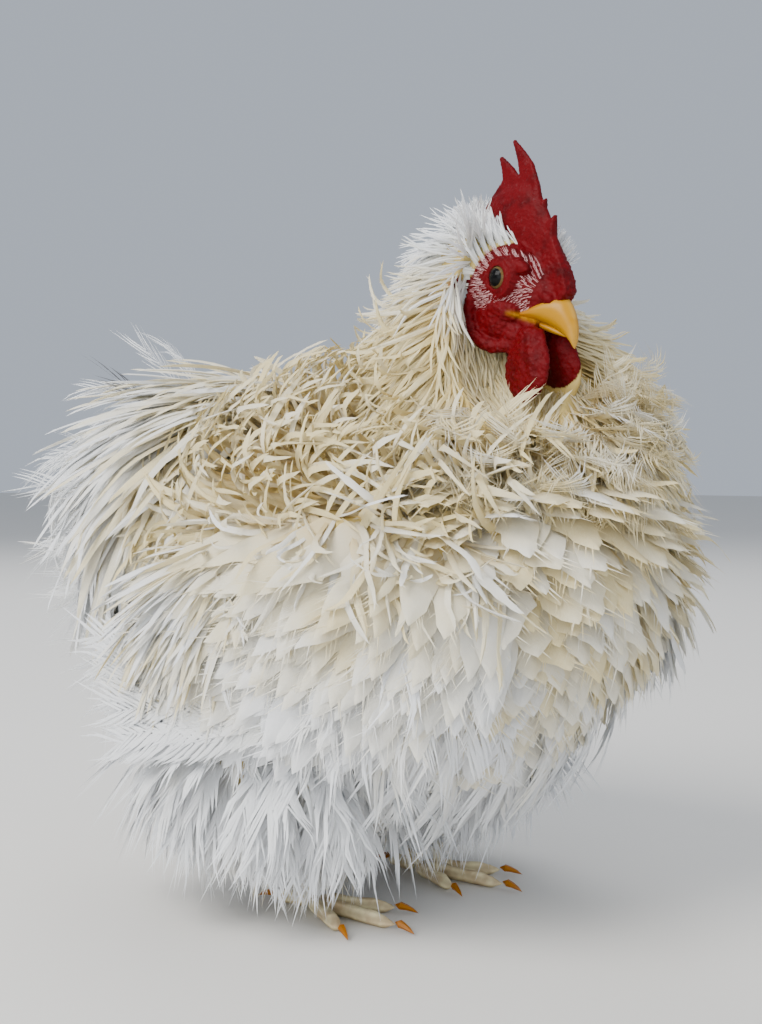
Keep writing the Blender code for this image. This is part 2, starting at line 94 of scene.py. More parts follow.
class Form:
    """A rounded form on a smooth curve through rows of sizes.

    Lengthwise rows are x, middle y, half width, lowest z and highest z, and its turns start on
    top. Upright rows are z, middle x and y, and the reach ahead, behind, left and right, and its
    turns start ahead. Both turn towards the bird's left.
    """

    def __init__(self, rows, upright=False):
        self.rows = np.array(rows, float)
        self.upright = upright

    def sizes(self, share):
        last = len(self.rows) - 1
        place = np.clip(share, 0.0, 1.0) * last
        i = np.minimum(place.astype(int), last - 1)
        t = (place - i)[:, None]
        before, a, b, after = (self.rows[np.clip(i + k, 0, last)] for k in (-1, 0, 1, 2))
        return (
            a * (2 * t**3 - 3 * t**2 + 1)
            + (b - before) / 2 * (t**3 - 2 * t**2 + t)
            + b * (3 * t**2 - 2 * t**3)
            + (after - a) / 2 * (t**3 - t**2)
        ).T

    def at(self, share, turn):
        side, lead = np.sin(turn), np.cos(turn)
        if self.upright:
            z, x, y, ahead, behind, left, right = self.sizes(share)
            along = x + np.where(lead > 0, ahead, behind) * lead
            return np.stack((along, y + np.where(side > 0, left, right) * side, z), 1)
        x, y, half, low, high = self.sizes(share)
        return np.stack((x, y + half * side, (low + high) / 2 + (high - low) / 2 * lead), 1)

    def slopes(self, share, turn):
        """How the skin runs as the share and the turn grow."""
        step, small_turn = 0.004, 0.01
        after, before = np.minimum(share + step, 1.0), np.maximum(share - step, 0.0)
        run = self.at(after, turn) - self.at(before, turn)
        round_it = self.at(share, turn + small_turn) - self.at(share, turn - small_turn)
        return run / (2 * step), round_it / (2 * small_turn)

    def holds(self, points):
        """Which of the points lie inside the form."""
        axis = 2 if self.upright else 0
        at = points[:, axis]
        _, *rest = (np.interp(at, self.rows[:, 0], column) for column in self.rows.T)
        if self.upright:
            x, y, ahead, behind, left, right = rest
            dx, dy = points[:, 0] - x, points[:, 1] - y
            reach = np.hypot(
                dx / np.maximum(np.where(dx > 0, ahead, behind), 0.1),
                dy / np.maximum(np.where(dy > 0, left, right), 0.1),
            )
        else:
            y, half, low, high = rest
            reach = np.hypot(
                (points[:, 1] - y) / np.maximum(half, 0.1),
                (points[:, 2] - (low + high) / 2) / np.maximum((high - low) / 2, 0.1),
            )
        inside = (at > self.rows[0, 0]) & (at < self.rows[-1, 0])
        return inside & (reach < 1.0)

    def add_to(self, bm, rings=24, segments=32, place=Matrix()):
        """The form's closed shell."""
        turns = np.arange(segments) * 2 * math.pi / segments
        shares = np.arange(1, rings) / rings
        loops = [
            [bm.verts.new(place @ Vector(p)) for p in self.at(np.full(segments, s), turns)]
            for s in shares
        ]
        for a, b in zip(loops, loops[1:]):
            for j in range(segments):
                k = (j + 1) % segments
                bm.faces.new((a[j], a[k], b[k], b[j]))
        for loop, share in ((loops[0], 0.0), (loops[-1], 1.0)):
            end = bm.verts.new(place @ Vector(self.at(np.array([share]), np.zeros(1))[0]))
            for j in range(segments):
                bm.faces.new((loop[j], loop[(j + 1) % segments], end))


def mirrored(rows, side, upright=False):
    """The rows of a form on one side, from those of the left one."""
    if side == LEFT:
        return rows
    if upright:
        return [(z, x, -y, ahead, behind, right, left) for z, x, y, ahead, behind, left, right in rows]
    return [(x, -y, half, low, high) for x, y, half, low, high in rows]


# The body as it is under its feathers
TRUNK = Form((
    (-100, 0, 0, 105, 135),
    (-92, 0, 34, 84, 156),
    (-70, 0, 54, 68, 176),
    (-40, 0, 66, 56, 190),
    (-5, 0, 74, 54, 194),
    (34, 0, 71, 58, 188),
    (64, 0, 64, 74, 182),
    (86, 0, 50, 96, 174),
    (100, 0, 32, 116, 164),
    (107, 0, 0, 134, 150),
))
NECK = Form((
    (138, 46, 0, 0, 0, 0, 0),
    (148, 46, 0, 38, 36, 44, 36),
    (164, 48, 2, 50, 42, 60, 47),
    (184, 50, 4, 44, 40, 62, 44),
    (203, 50, 6, 32, 38, 56, 38),
    (221, 49, 5, 18, 32, 44, 33),
    (236, 50, 1, 12, 24, 30, 25),
    (248, 52, -3, 10, 17, 17, 17),
    (255, 53, -4, 0, 0, 0, 0),
), upright=True)
SADDLE = Form((
    (-110, 0, 0, 140, 160),
    (-104, 0, 40, 112, 188),
    (-92, 0, 58, 98, 196),
    (-70, 0, 64, 100, 199),
    (-44, 0, 58, 120, 198),
    (-22, 0, 38, 150, 194),
    (-12, 0, 0, 170, 182),
))
TAIL = Form((
    (-134, 0, 0, 140, 160),
    (-126, 0, 30, 108, 184),
    (-112, 0, 40, 98, 192),
    (-98, 0, 36, 102, 190),
    (-88, 0, 0, 140, 160),
))
WING_ROWS = (
    (-38, 80, 0, 98, 116),
    (-20, 81, 5, 88, 134),
    (12, 81, 7, 88, 147),
    (46, 78, 8, 91, 153),
    (72, 69, 7, 98, 151),
    (90, 59, 5, 108, 141),
    (98, 54, 0, 117, 127),
)
THIGH_ROWS = (
    (33, -3, 36, 0, 0, 0, 0),
    (39, -5, 37, 16, 22, 17, 15),
    (50, -8, 40, 30, 42, 26, 23),
    (66, -10, 41, 36, 48, 29, 26),
    (84, -10, 42, 26, 34, 22, 22),
    (92, -10, 42, 0, 0, 0, 0),
)
WINGS = {side: Form(mirrored(WING_ROWS, side)) for _, side in SIDES}
THIGHS = {side: Form(mirrored(THIGH_ROWS, side, upright=True), upright=True) for _, side in SIDES}

# The room that the ruff leaves round the face
HOLLOW_CENTRE = np.array(HEAD_CENTRE) + (22.0, -24.0, -9.0)
HOLLOW_REACH = np.array((43.0, 29.0, 45.0))
HOLLOW_TURN = np.array(Matrix.Rotation(math.radians(HEAD_YAW - 32.0), 3, "Z"))

# Where the ruff's feathers run away from, and the rounded rooms that the wattles and the face take
RUFF_MIDDLE = np.array(HEAD_CENTRE) + (8.0, -8.0, -6.0)
WATTLE_TOP = Vector((18.5, 6.2, -9.5))
WATTLE_MIDDLE = np.array(HEAD @ Vector((WATTLE_TOP.x, 0.0, WATTLE_TOP.z))) + (1.0, 0.0, -12.5)
WATTLE_ROOM = np.array((14.0, 19.0, 17.0))
FACE_MIDDLE = (7.0, 0.0, -5.0)
FACE_ROOM = (15.0, 19.0, 17.5)


def near_wattles(points, grown):
    """Which points lie in the wattles' room, grown along and upright but not sideways."""
    room = WATTLE_ROOM * (grown, 1.0, grown)
    return (((points - WATTLE_MIDDLE) / room) ** 2).sum(1) < 1.0


def over_face(points):
    """Which points would hide the face, the lobes or the wattles."""
    face = ((to_head(points) - FACE_MIDDLE) / FACE_ROOM) ** 2
    return (face.sum(1) < 1.0) | near_wattles(points, 1.0)


def hollow_reach(points):
    """How far out each point is from the middle of the room round the face: 1 at its wall."""
    local = (points - HOLLOW_CENTRE) @ HOLLOW_TURN
    return np.linalg.norm(local / HOLLOW_REACH, axis=1)


def before_face(points):
    """Which points lie in the room round the face."""
    return hollow_reach(points) < 1.0


class FrizzleLook(bpy.types.PropertyGroup):
    """The colours and the fullness of the coat."""

    white: bpy.props.FloatVectorProperty(
        name="White", description="Feather tips, tail and belly", subtype="COLOR",
        default=(0.93, 0.94, 0.95), min=0.0, max=1.0,
    )
    # The white feathers' roots, greyed partly as painted shade deep in the coat
    shade: bpy.props.FloatVectorProperty(
        name="White's roots", description="Deep in the white feathers", subtype="COLOR",
        default=(0.86, 0.86, 0.82), min=0.0, max=1.0,
    )
    cream: bpy.props.FloatVectorProperty(
        name="Cream", description="The hackles and the breast", subtype="COLOR",
        default=(0.88, 0.78, 0.47), min=0.0, max=1.0,
    )
    # The feathers' own golden colour in their streaks; at the roots, and darkened on the skin under
    # the coat, it is also painted shade
    straw: bpy.props.FloatVectorProperty(
        name="Straw", description="Deep in the coat, at the roots", subtype="COLOR",
        default=(0.72, 0.55, 0.20), min=0.0, max=1.0,
    )
    mark: bpy.props.FloatVectorProperty(
        name="Dark marks", description="The few dark feathers", subtype="COLOR",
        default=(0.035, 0.035, 0.045), min=0.0, max=1.0,
    )
    red: bpy.props.FloatVectorProperty(
        name="Red skin", description="Comb, face and wattles", subtype="COLOR",
        default=(0.105, 0.001, 0.003), min=0.0, max=1.0,
    )
    bristle: bpy.props.FloatVectorProperty(
        name="Bristles", description="The fine hairs on the face", subtype="COLOR",
        default=(0.62, 0.36, 0.36), min=0.0, max=1.0,
    )
    horn: bpy.props.FloatVectorProperty(
        name="Horn", description="Bill and claws", subtype="COLOR",
        default=(0.40, 0.185, 0.001), min=0.0, max=1.0,
    )
    scales: bpy.props.FloatVectorProperty(
        name="Scales", description="Shanks and toes", subtype="COLOR",
        default=(0.58, 0.44, 0.26), min=0.0, max=1.0,
    )
    fullness: bpy.props.FloatProperty(
        name="Fullness", description="How many feathers, as a share of the full coat",
        subtype="FACTOR", default=1.0, min=0.05, max=1.2,
    )


class Wire:
    """A socket in a material, so that sums on it are written as Python."""

    def __init__(self, finish, socket):
        self.finish = finish
        self.socket = socket

    def math(self, operation, *values):
        made = self.finish.node("Math", {"operation": operation}, {k: v for k, v in enumerate(values)})
        return Wire(self.finish, made.outputs[0])

    def __add__(self, other):
        return self.math("ADD", self, other)

    def __sub__(self, other):
        return self.math("SUBTRACT", self, other)

    def __rsub__(self, other):
        return self.math("SUBTRACT", other, self)

    def __mul__(self, other):
        return self.math("MULTIPLY", self, other)

    __radd__, __rmul__ = __add__, __mul__

    def between(self, low, high):
        """0 below low, 1 above high, and smooth between them."""
        made = self.finish.node(
            "MapRange",
            {"interpolation_type": "SMOOTHSTEP"},
            {"Value": self, "From Min": low, "From Max": high},
        )
        return Wire(self.finish, made.outputs["Result"])


class Finish:
    """A material made of nodes, one call for each node."""

    def __init__(self, name):
        self.material = bpy.data.materials.new(name)
        self.material.use_nodes = True
        self.tree = self.material.node_tree
        self.tree.nodes.clear()

    def node(self, kind, settings=None, values=None):
        made = self.tree.nodes.new("ShaderNode" + kind)
        for name, value in (settings or {}).items():
            setattr(made, name, value)
        for name, value in (values or {}).items():
            socket = made.inputs[name]
            if isinstance(value, Wire):
                self.tree.links.new(value.socket, socket)
            elif socket.type == "RGBA" and len(value) == 3:
                socket.default_value = (*value, 1.0)
            else:
                socket.default_value = value
        return made

    def wire(self, kind, output, settings=None, values=None):
        return Wire(self, self.node(kind, settings, values).outputs[output])

    def attribute(self, name):
        """The three numbers that a piece keeps at each point under that name."""
        read = self.wire("Attribute", "Vector", {"attribute_name": name})
        parts = self.node("SeparateXYZ", values={"Vector": read})
        return [Wire(self, socket) for socket in parts.outputs]

    def places(self, scale=(1.0, 1.0, 1.0)):
        """Where a point is, in its piece's own axes, grown by the scale along each."""
        read = self.wire("TexCoord", "Object")
        return self.wire("Mapping", "Vector", values={"Vector": read, "Scale": scale})

    def noise(self, vector, scale, detail=2.0):
        values = {"Vector": vector, "Scale": scale, "Detail": detail}
        return self.wire("TexNoise", "Fac", values=values)

    def mix(self, factor, a, b):
        """Colour b over colour a by the factor."""
        made = self.tree.nodes.new("ShaderNodeMix")
        made.data_type = "RGBA"
        for socket, value in zip((made.inputs[0], made.inputs[6], made.inputs[7]), (factor, a, b)):
            if isinstance(value, Wire):
                self.tree.links.new(value.socket, socket)
            elif socket.type == "RGBA":
                socket.default_value = (*value, 1.0)
            else:
                socket.default_value = value
        return Wire(self, made.outputs[2])

    def bump(self, height, strength, distance):
        values = {"Height": height, "Strength": strength, "Distance": distance}
        return self.wire("Bump", "Normal", values=values)

    def surface(self, values, thin=0.0, thin_colour=None):
        """The output, with a share of light let through where the piece is thin."""
        shader = self.wire("BsdfPrincipled", "BSDF", values=values)
        if thin:
            glow = self.wire("BsdfTranslucent", "BSDF", values={"Color": thin_colour})
            shader = self.wire("MixShader", "Shader", values={0: thin, 1: shader, 2: glow})
        self.node("OutputMaterial", values={"Surface": shader})
        return self.material


def feather_finish(look):
    """Feathers: straw at the root, cream along the vane, white where the tone is low. The darker roots
    are partly the feathers' own colour and partly painted shade deep in the coat.
    """
    made = Finish("feather")
    along, tone, dark = made.attribute("plume")
    grain = made.wire("Attribute", "Vector", {"attribute_name": "grain"})
    streaks = made.noise(grain, 3.0, 3.0)
    clouds = made.noise(made.places(), 38.0, 2.0)
    # Painted shade, in part: each feather darkens towards its root, to straw or to the greyed white,
    # as if the coat were shaded deep down
    depth = (along + (clouds - 0.5) * 0.25).between(0.05, 0.62)
    warm = made.mix(depth, look.straw, look.cream)
    pale = made.mix(depth, look.shade, look.white)
    warmth = (tone + (clouds - 0.5) * 0.7).between(0.0, 1.0)
    colour = made.mix(warmth, pale, warm)
    colour = made.mix((streaks - 0.40) * warmth * 0.9, colour, look.straw)
    colour = made.mix(dark, colour, look.mark)
    bump = made.bump(streaks, 0.35, 0.0006)
    return made.surface(
        {"Base Color": colour, "Roughness": 0.72, "Specular IOR Level": 0.25, "Normal": bump,
         "Sheen Weight": 0.15, "Sheen Roughness": 0.5},
        thin=0.30, thin_colour=colour,
    )


def skin_finish(look):
    """Red and grained on the face, yellow and scaled on the feet, and under the coat straw darkened as
    painted shade for the gaps between feathers.
    """
    made = Finish("skin")
    red, scaled, pale = made.attribute("skin")
    spots = made.noise(made.places(), 900.0, 3.0)
    clouds = made.noise(made.places(), 160.0, 2.0)
    deep = tuple(0.45 * c for c in look.red)
    rosy = tuple(0.8 * c + 0.05 for c in look.red)
    flesh = made.mix(clouds.between(0.45, 0.85), look.red, deep)
    flesh = made.mix(spots.between(0.58, 0.80) * 0.35, flesh, rosy)
    flesh = made.mix(pale * 0.8, flesh, look.horn)
    horny = made.mix(clouds.between(0.30, 0.70), look.scales, look.cream)
    bands = made.wire(
        "TexWave", "Fac", {"bands_direction": "Z"},
        {"Vector": made.places(), "Scale": 95.0, "Distortion": 1.2, "Detail": 1.0},
    )
    horny = made.mix((1.0 - bands) * 0.35, horny, tuple(0.5 * c for c in look.scales))
    # Painted shade: the skin under the coat is straw darkened, so that the gaps between feathers show
    # as shadow
    under = tuple(0.8 * c for c in look.straw)
    colour = made.mix(red, under, flesh)
    colour = made.mix(scaled, colour, horny)
    relief = spots * red + bands * scaled
    return made.surface(
        {"Base Color": colour, "Roughness": 0.52, "Specular IOR Level": 0.09,
         "Normal": made.bump(relief, 0.6, 0.0006)},
    )


def horn_finish(look):
    """Horn: deeper towards the root, pale along the ridge and at the tip."""
    made = Finish("horn")
    tip, low, pale = made.attribute("horn")
    streaks = made.noise(made.places((1.0, 1.0, 3.0)), 260.0, 3.0)
    amber = (0.86 * look.horn[0], 0.62 * look.horn[1], 0.4 * look.horn[2])
    ivory = (0.84, 0.62, 0.22)
    colour = made.mix((tip + (streaks - 0.5) * 0.3).between(0.0, 0.45), amber, look.horn)
    colour = made.mix(pale * 0.3, colour, ivory)
    colour = made.mix(low * 0.5, colour, amber)
    return made.surface(
        {"Base Color": colour, "Roughness": 0.36, "Specular IOR Level": 0.25,
         "Normal": made.bump(streaks, 0.15, 0.0003)},
    )


def eye_finish():
    """Black pupil and olive-brown ring, with a wet gloss."""
    made = Finish("eye")
    out, *_ = made.attribute("gaze")
    rays = made.noise(made.wire("Attribute", "Vector", {"attribute_name": "gaze"}), 14.0, 3.0)
    ring = made.mix(rays, (0.05, 0.030, 0.012), (0.16, 0.10, 0.035))
    colour = made.mix(out.between(0.58, 0.63), (0.004, 0.004, 0.004), ring)
    colour = made.mix(out.between(0.70, 0.78), colour, (0.03, 0.015, 0.008))
    return made.surface(
        {"Base Color": colour, "Roughness": 0.05, "Specular IOR Level": 0.08},
    )


def plain_finish(name, colour, roughness):
    """One colour all over."""
    return Finish(name).surface({"Base Color": colour, "Roughness": roughness})


def link(name, data):
    """A new object in the scene."""
    obj = bpy.data.objects.new(name, data)
    bpy.context.scene.collection.objects.link(obj)
    return obj


def to_model(points):
    """From mm in the bird's own frame to the model's metres."""
    return (np.asarray(points) + np.array(SHIFT)) * MM


def mesh_piece(name, points, triangles, material, facts=None, patches=None):
    """One object from points in the bird's frame, with its facts at each point and its map."""
    mesh = bpy.data.meshes.new(name)
    corners = len(triangles) * 3
    mesh.vertices.add(len(points))
    mesh.vertices.foreach_set("co", to_model(points).astype(np.float32).ravel())
    mesh.loops.add(corners)
    mesh.loops.foreach_set("vertex_index", triangles.astype(np.int32).ravel())
    mesh.polygons.add(len(triangles))
    mesh.polygons.foreach_set("loop_start", np.arange(0, corners, 3, dtype=np.int32))
    mesh.update(calc_edges=True)
    for label, values in (facts or {}).items():
        held = mesh.attributes.new(label, "FLOAT_VECTOR", "POINT")
        held.data.foreach_set("vector", values.astype(np.float32).ravel())
    if patches is not None:
        layer = mesh.uv_layers.new(name="OFBake")
        layer.data.foreach_set("uv", patches[triangles.ravel()].astype(np.float32).ravel())
    mesh.materials.append(material)
    mesh.shade_smooth()
    obj = link(name, mesh)
    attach(obj, "root")
    return obj


def even_points(count):
    """Points spread evenly over a unit cube, each far from those before it."""
    step = 1.2207440846
    k = np.arange(1, count + 1)[:, None]
    return (0.5 + k / step ** np.arange(1, 4)) % 1.0


def vary(rng, count, value):
    """A number for each of the feathers: a middle and how far it wanders, or as given."""
    if isinstance(value, tuple):
        middle, wander = value
        return middle + wander * rng.uniform(-1.0, 1.0, count)
    return np.broadcast_to(np.asarray(value, float), (count,))


def swirl(points, seed, size):
    """A number from -1 to 1 that changes slowly from place to place."""
    rng = np.random.default_rng(seed)
    total = np.zeros(len(points))
    for _ in range(5):
        way = rng.normal(size=3)
        way /= np.linalg.norm(way) * size * rng.uniform(0.6, 1.6)
        total += np.sin(points @ way * 2 * math.pi + rng.uniform(0, 2 * math.pi))
    return total / 3.0


def unit(vectors):
    return vectors / np.maximum(np.linalg.norm(vectors, axis=1, keepdims=True), 1e-9)


class Roots:
    """Where feathers grow: their places, the way out of the skin, and their places on the map."""

    def __init__(self, place, out, patch):
        self.place, self.out, self.patch = place, out, patch

    def __len__(self):
        return len(self.place)

    def pick(self, keep):
        return Roots(self.place[keep], self.out[keep], self.patch[keep])

    def lie(self, direction):
        """The direction, laid along the skin."""
        way = np.broadcast_to(np.asarray(direction, float), self.place.shape)
        flat = way - self.out * (way * self.out).sum(1, keepdims=True)
        return unit(flat)


def plant(form, count, shares=(0.0, 1.0), turns=(0.0, 360.0), clear_of=(), off_face=True):
    """Roots spread evenly over a stretch of a form, none inside the forms it is to be clear of."""
    tries = even_points(count * 4)
    jitter = np.random.default_rng(count).uniform(-0.6, 0.6, tries.shape) / math.sqrt(len(tries))
    tries = (tries + jitter) % 1.0
    share = shares[0] + (shares[1] - shares[0]) * tries[:, 0]
    turn = np.radians(turns[0] + (turns[1] - turns[0]) * tries[:, 1])
    run, round_it = form.slopes(share, turn)
    out = np.cross(round_it, run) if form.upright else np.cross(run, round_it)
    area = np.linalg.norm(out, axis=1)
    keep = tries[:, 2] < area * count / area.sum()
    share, turn, out = share[keep], turn[keep], unit(out[keep])
    place = form.at(share, turn)
    middle = form.at(share, turn + math.pi)
    facing_in = ((place - middle) * out).sum(1) < 0
    out[facing_in] *= -1
    margin = 0.02
    patch = np.stack((turn / (2 * math.pi) % 1.0, share), 1) * (1 - 2 * margin) + margin
    roots = Roots(place, out, patch)
    free = np.ones(len(place), bool)
    for other in clear_of:
        free &= ~other.holds(place)
    if off_face:
        free &= ~before_face(place)
    return roots.pick(free)


def plant_hollow(count):
    """Roots spread evenly over the inside of the ruff, round the face."""
    tries = even_points(count)
    tries = (tries + np.random.default_rng(count).uniform(-0.01, 0.01, tries.shape)) % 1.0
    high, turn = 1.0 - 2.0 * tries[:, 0], 2 * math.pi * tries[:, 1]
    flat = np.sqrt(1.0 - high**2)
    ball = np.stack((flat * np.cos(turn), flat * np.sin(turn), high), 1)
    place = (ball * HOLLOW_REACH) @ HOLLOW_TURN.T + HOLLOW_CENTRE
    out = -unit((ball / HOLLOW_REACH) @ HOLLOW_TURN.T)
    patch = np.stack((turn / (2 * math.pi), (high + 1) / 2), 1) * 0.96 + 0.02
    return Roots(place, out, patch).pick(NECK.holds(place))


class Kind:
    """A kind of feather, and a few different ones of it laid flat.

    Its barbs are thin blades that leave the shaft at a slant. cover is their width as a share of
    the room between them, so that above 1 they close into a vane.
    """

    def __init__(self, length, half_width, barbs, cover, slant, point, seed, bare=0.12,
                 ragged=0.12, lift=0.5, shaft=0.45):
        self.length, self.half_width, self.barbs = length, half_width, barbs
        self.cover, self.slant, self.point = cover, slant, point
        self.bare, self.ragged, self.lift, self.shaft = bare, ragged, lift, shaft
        self.seed = seed

    def reach(self, share):
        """How wide the feather is, in half widths, along its length."""
        peak = max((s + 0.1) ** 0.4 * (1 - s) ** self.point for s in np.linspace(0, 1, 21))
        return (share + 0.1) ** 0.4 * max(1.0 - share, 0.02) ** self.point / peak

    def flat(self, variant):
        """One feather's points (across, along and height in mm), its grain and its triangles."""
        rng = np.random.default_rng((self.seed, variant))
        points, grain, faces = [], [], []
        self.add_shaft(points, grain, faces)
        step = (1.0 - self.bare) / self.barbs
        for k in range(self.barbs):
            for side in (LEFT, RIGHT):
                share = self.bare + (k + rng.uniform(0.2, 0.8)) * step
                self.add_barb(rng, points, grain, faces, share, side, step)
        return np.array(points), np.array(grain), np.array(faces)

    def add_shaft(self, points, grain, faces):
        stations = (0.0, 0.3, 0.65)
        for share in stations:
            r = self.shaft * (1.0 - 0.8 * share)
            y = share * self.length
            points += [(-r, y, 0.0), (0.0, y, r), (r, y, 0.0)]
            grain += [(0.0, y, 0.0)] * 3
        points.append((0.0, self.length * 1.02, 0.1))
        grain.append((0.0, self.length, 0.0))
        close_blade(faces, 0, len(stations))

    def add_barb(self, rng, points, grain, faces, share, side, step):
        angle = math.radians(self.slant * (1.0 - 0.45 * share) + rng.uniform(-7, 7))
        reach = self.reach(share) * self.half_width * (1.0 + rng.normal() * self.ragged)
        forward = reach / math.tan(max(angle, 0.2))
        root = np.array((0.0, share * self.length))
        tip = root + (side * reach, forward)
        bow = rng.uniform(0.02, 0.10) * reach
        middle = root * 0.42 + tip * 0.58 + (side * bow, -bow)
        way = (tip - root) / max(np.linalg.norm(tip - root), 1e-6)
        across = np.array((way[1], -way[0]))
        half = self.cover * step * self.length * math.sin(angle) / 2
        first = len(points)
        seed_grain = rng.uniform(0, 40)
        rise = rng.normal() * self.lift
        stations = ((root, 0.7 * half, 0.0, 0.0), (middle, half, 0.25 * rise, 1.0))
        for centre, width, height, v in stations:
            ridge = 0.10 + 0.10 * half
            points += [
                (*(centre - across * width), height + 0.08 * side),
                (*centre, height + ridge),
                (*(centre + across * width), height - 0.08 * side),
            ]
            grain += [(seed_grain + u, centre[1] * 0.15 + v, share) for u in (0.0, 1.0, 2.0)]
        points.append((*tip, rise))
        grain.append((seed_grain + 1.0, tip[1] * 0.15 + 2.0, share))
        close_blade(faces, first, 2)


def close_blade(faces, first, stations, sides=3):
    """Triangles round a blade of stations, over its root and up to the tip that follows them."""
    for k in range(stations - 1):
        a = first + sides * k
        for i in range(sides):
            j = (i + 1) % sides
            faces.append((a + i, a + j, a + sides + i))
            faces.append((a + j, a + sides + j, a + sides + i))
    a, tip = first + sides * (stations - 1), first + sides * stations
    for i in range(sides):
        faces.append((a + i, a + (i + 1) % sides, tip))
    for i in range(1, sides - 1):
        faces.append((first, first + i + 1, first + i))


class Hair(Kind):
    """A single tapered thread."""

    def flat(self, variant):
        points, grain, faces = [], [], []
        stations = (0.0, 0.35, 0.7)
        for share in stations:
            r = self.half_width * (1.0 - 0.55 * share)
            y = share * self.length
            points += [(-r, y, 0.0), (0.0, y, 0.6 * r), (r, y, 0.0)]
            grain += [(0.0, share, 0.0)] * 3
        points.append((0.0, self.length, 0.0))
        grain.append((0.0, 1.0, 0.0))
        close_blade(faces, 0, len(stations))
        return np.array(points), np.array(grain), np.array(faces)


class Vane(Kind):
    """A feather whose barbs hold together as one thin leaf, with single barbs along its edges."""

    def __init__(self, length, half_width, rings, columns, fringe, point, seed, slant=38,
                 ragged=0.06, ridge=0.5):
        super().__init__(length, half_width, fringe, 1.0, slant, point, seed, ragged=ragged)
        self.rings, self.columns, self.ridge = rings, columns, ridge

    def flat(self, variant):
        rng = np.random.default_rng((self.seed, variant))
        points, grain, faces = [], [], []
        across = np.linspace(-1.0, 1.0, self.columns)
        sides = self.columns + 1
        for share in np.linspace(0.0, 0.95, self.rings):
            reach = self.reach(share) * self.half_width
            lopsided = 1.0 + self.ragged * rng.normal(size=2)
            for u in across:
                x = u * reach * lopsided[int(u > 0)]
                y = share * self.length + 0.35 * abs(x)
                points.append((x, y, self.ridge * (1 - u * u) + 0.06))
                grain.append((y * 0.9 - abs(x) * 1.1, abs(x) * 0.25, self.seed))
            points.append((0.0, share * self.length, -0.06))
            grain.append((share * self.length, 0.0, self.seed))
        points.append((0.0, self.length * 1.02, 0.1))
        grain.append((self.length * 0.9, 0.0, self.seed))
        close_blade(faces, 0, self.rings, sides)
        for k in range(self.barbs):
            share = 0.08 + 0.88 * (k + rng.uniform()) / self.barbs
            self.add_spike(rng, points, grain, faces, share)
        return np.array(points), np.array(grain), np.array(faces)

    def add_spike(self, rng, points, grain, faces, share):
        side = rng.choice((LEFT, RIGHT))
        reach = self.reach(share) * self.half_width
        root = np.array((side * reach * 0.55, share * self.length))
        angle = math.radians(self.slant * rng.uniform(0.5, 1.0))
        length = self.half_width * rng.uniform(0.7, 1.5) + 1.0
        tip = root + (side * length * math.sin(angle), length * math.cos(angle))
        half = 0.16 + 0.03 * self.half_width
        first = len(points)
        points += [
            (root[0] - half, root[1], 0.05),
            (root[0], root[1], 0.25),
            (root[0] + half, root[1], 0.05),
            (*tip, rng.normal() * self.lift),
        ]
        grain += [(root[1] * 0.9, 0.0, self.seed)] * 3 + [(root[1] * 0.9, 1.0, self.seed)]
        close_blade(faces, first, 1)


def bent(kind, flat, rise, curl, sweep, size, twist, cup, slim, wave, stand):
    """Where a flat feather's points come once bent: along its lie, off the skin and beside."""
    across, along, height = flat.T
    share = along / kind.length
    start, bend = np.radians(rise), np.radians(curl)
    bend = np.where(np.abs(bend) < 0.02, 0.02, bend)
    length = kind.length * size
    angle = start + bend * share
    forth = length * (np.sin(angle) - np.sin(start)) / bend
    off = length * (np.cos(start) - np.cos(angle)) / bend
    lean = np.radians(twist) * (0.4 + share)
    x = across * size * slim
    h = height * size - cup * x * x / (kind.half_width * size)
    x, h = x * np.cos(lean) - h * np.sin(lean), x * np.sin(lean) + h * np.cos(lean)
    x = x + length * sweep * share * share / 2
    x = x + length * wave * np.sin(8.0 * share) * share
    forth = forth - h * np.sin(angle)
    off = np.where(off > 0, stand * np.tanh(off / stand), off) + h * np.cos(angle)
    return forth, off, x


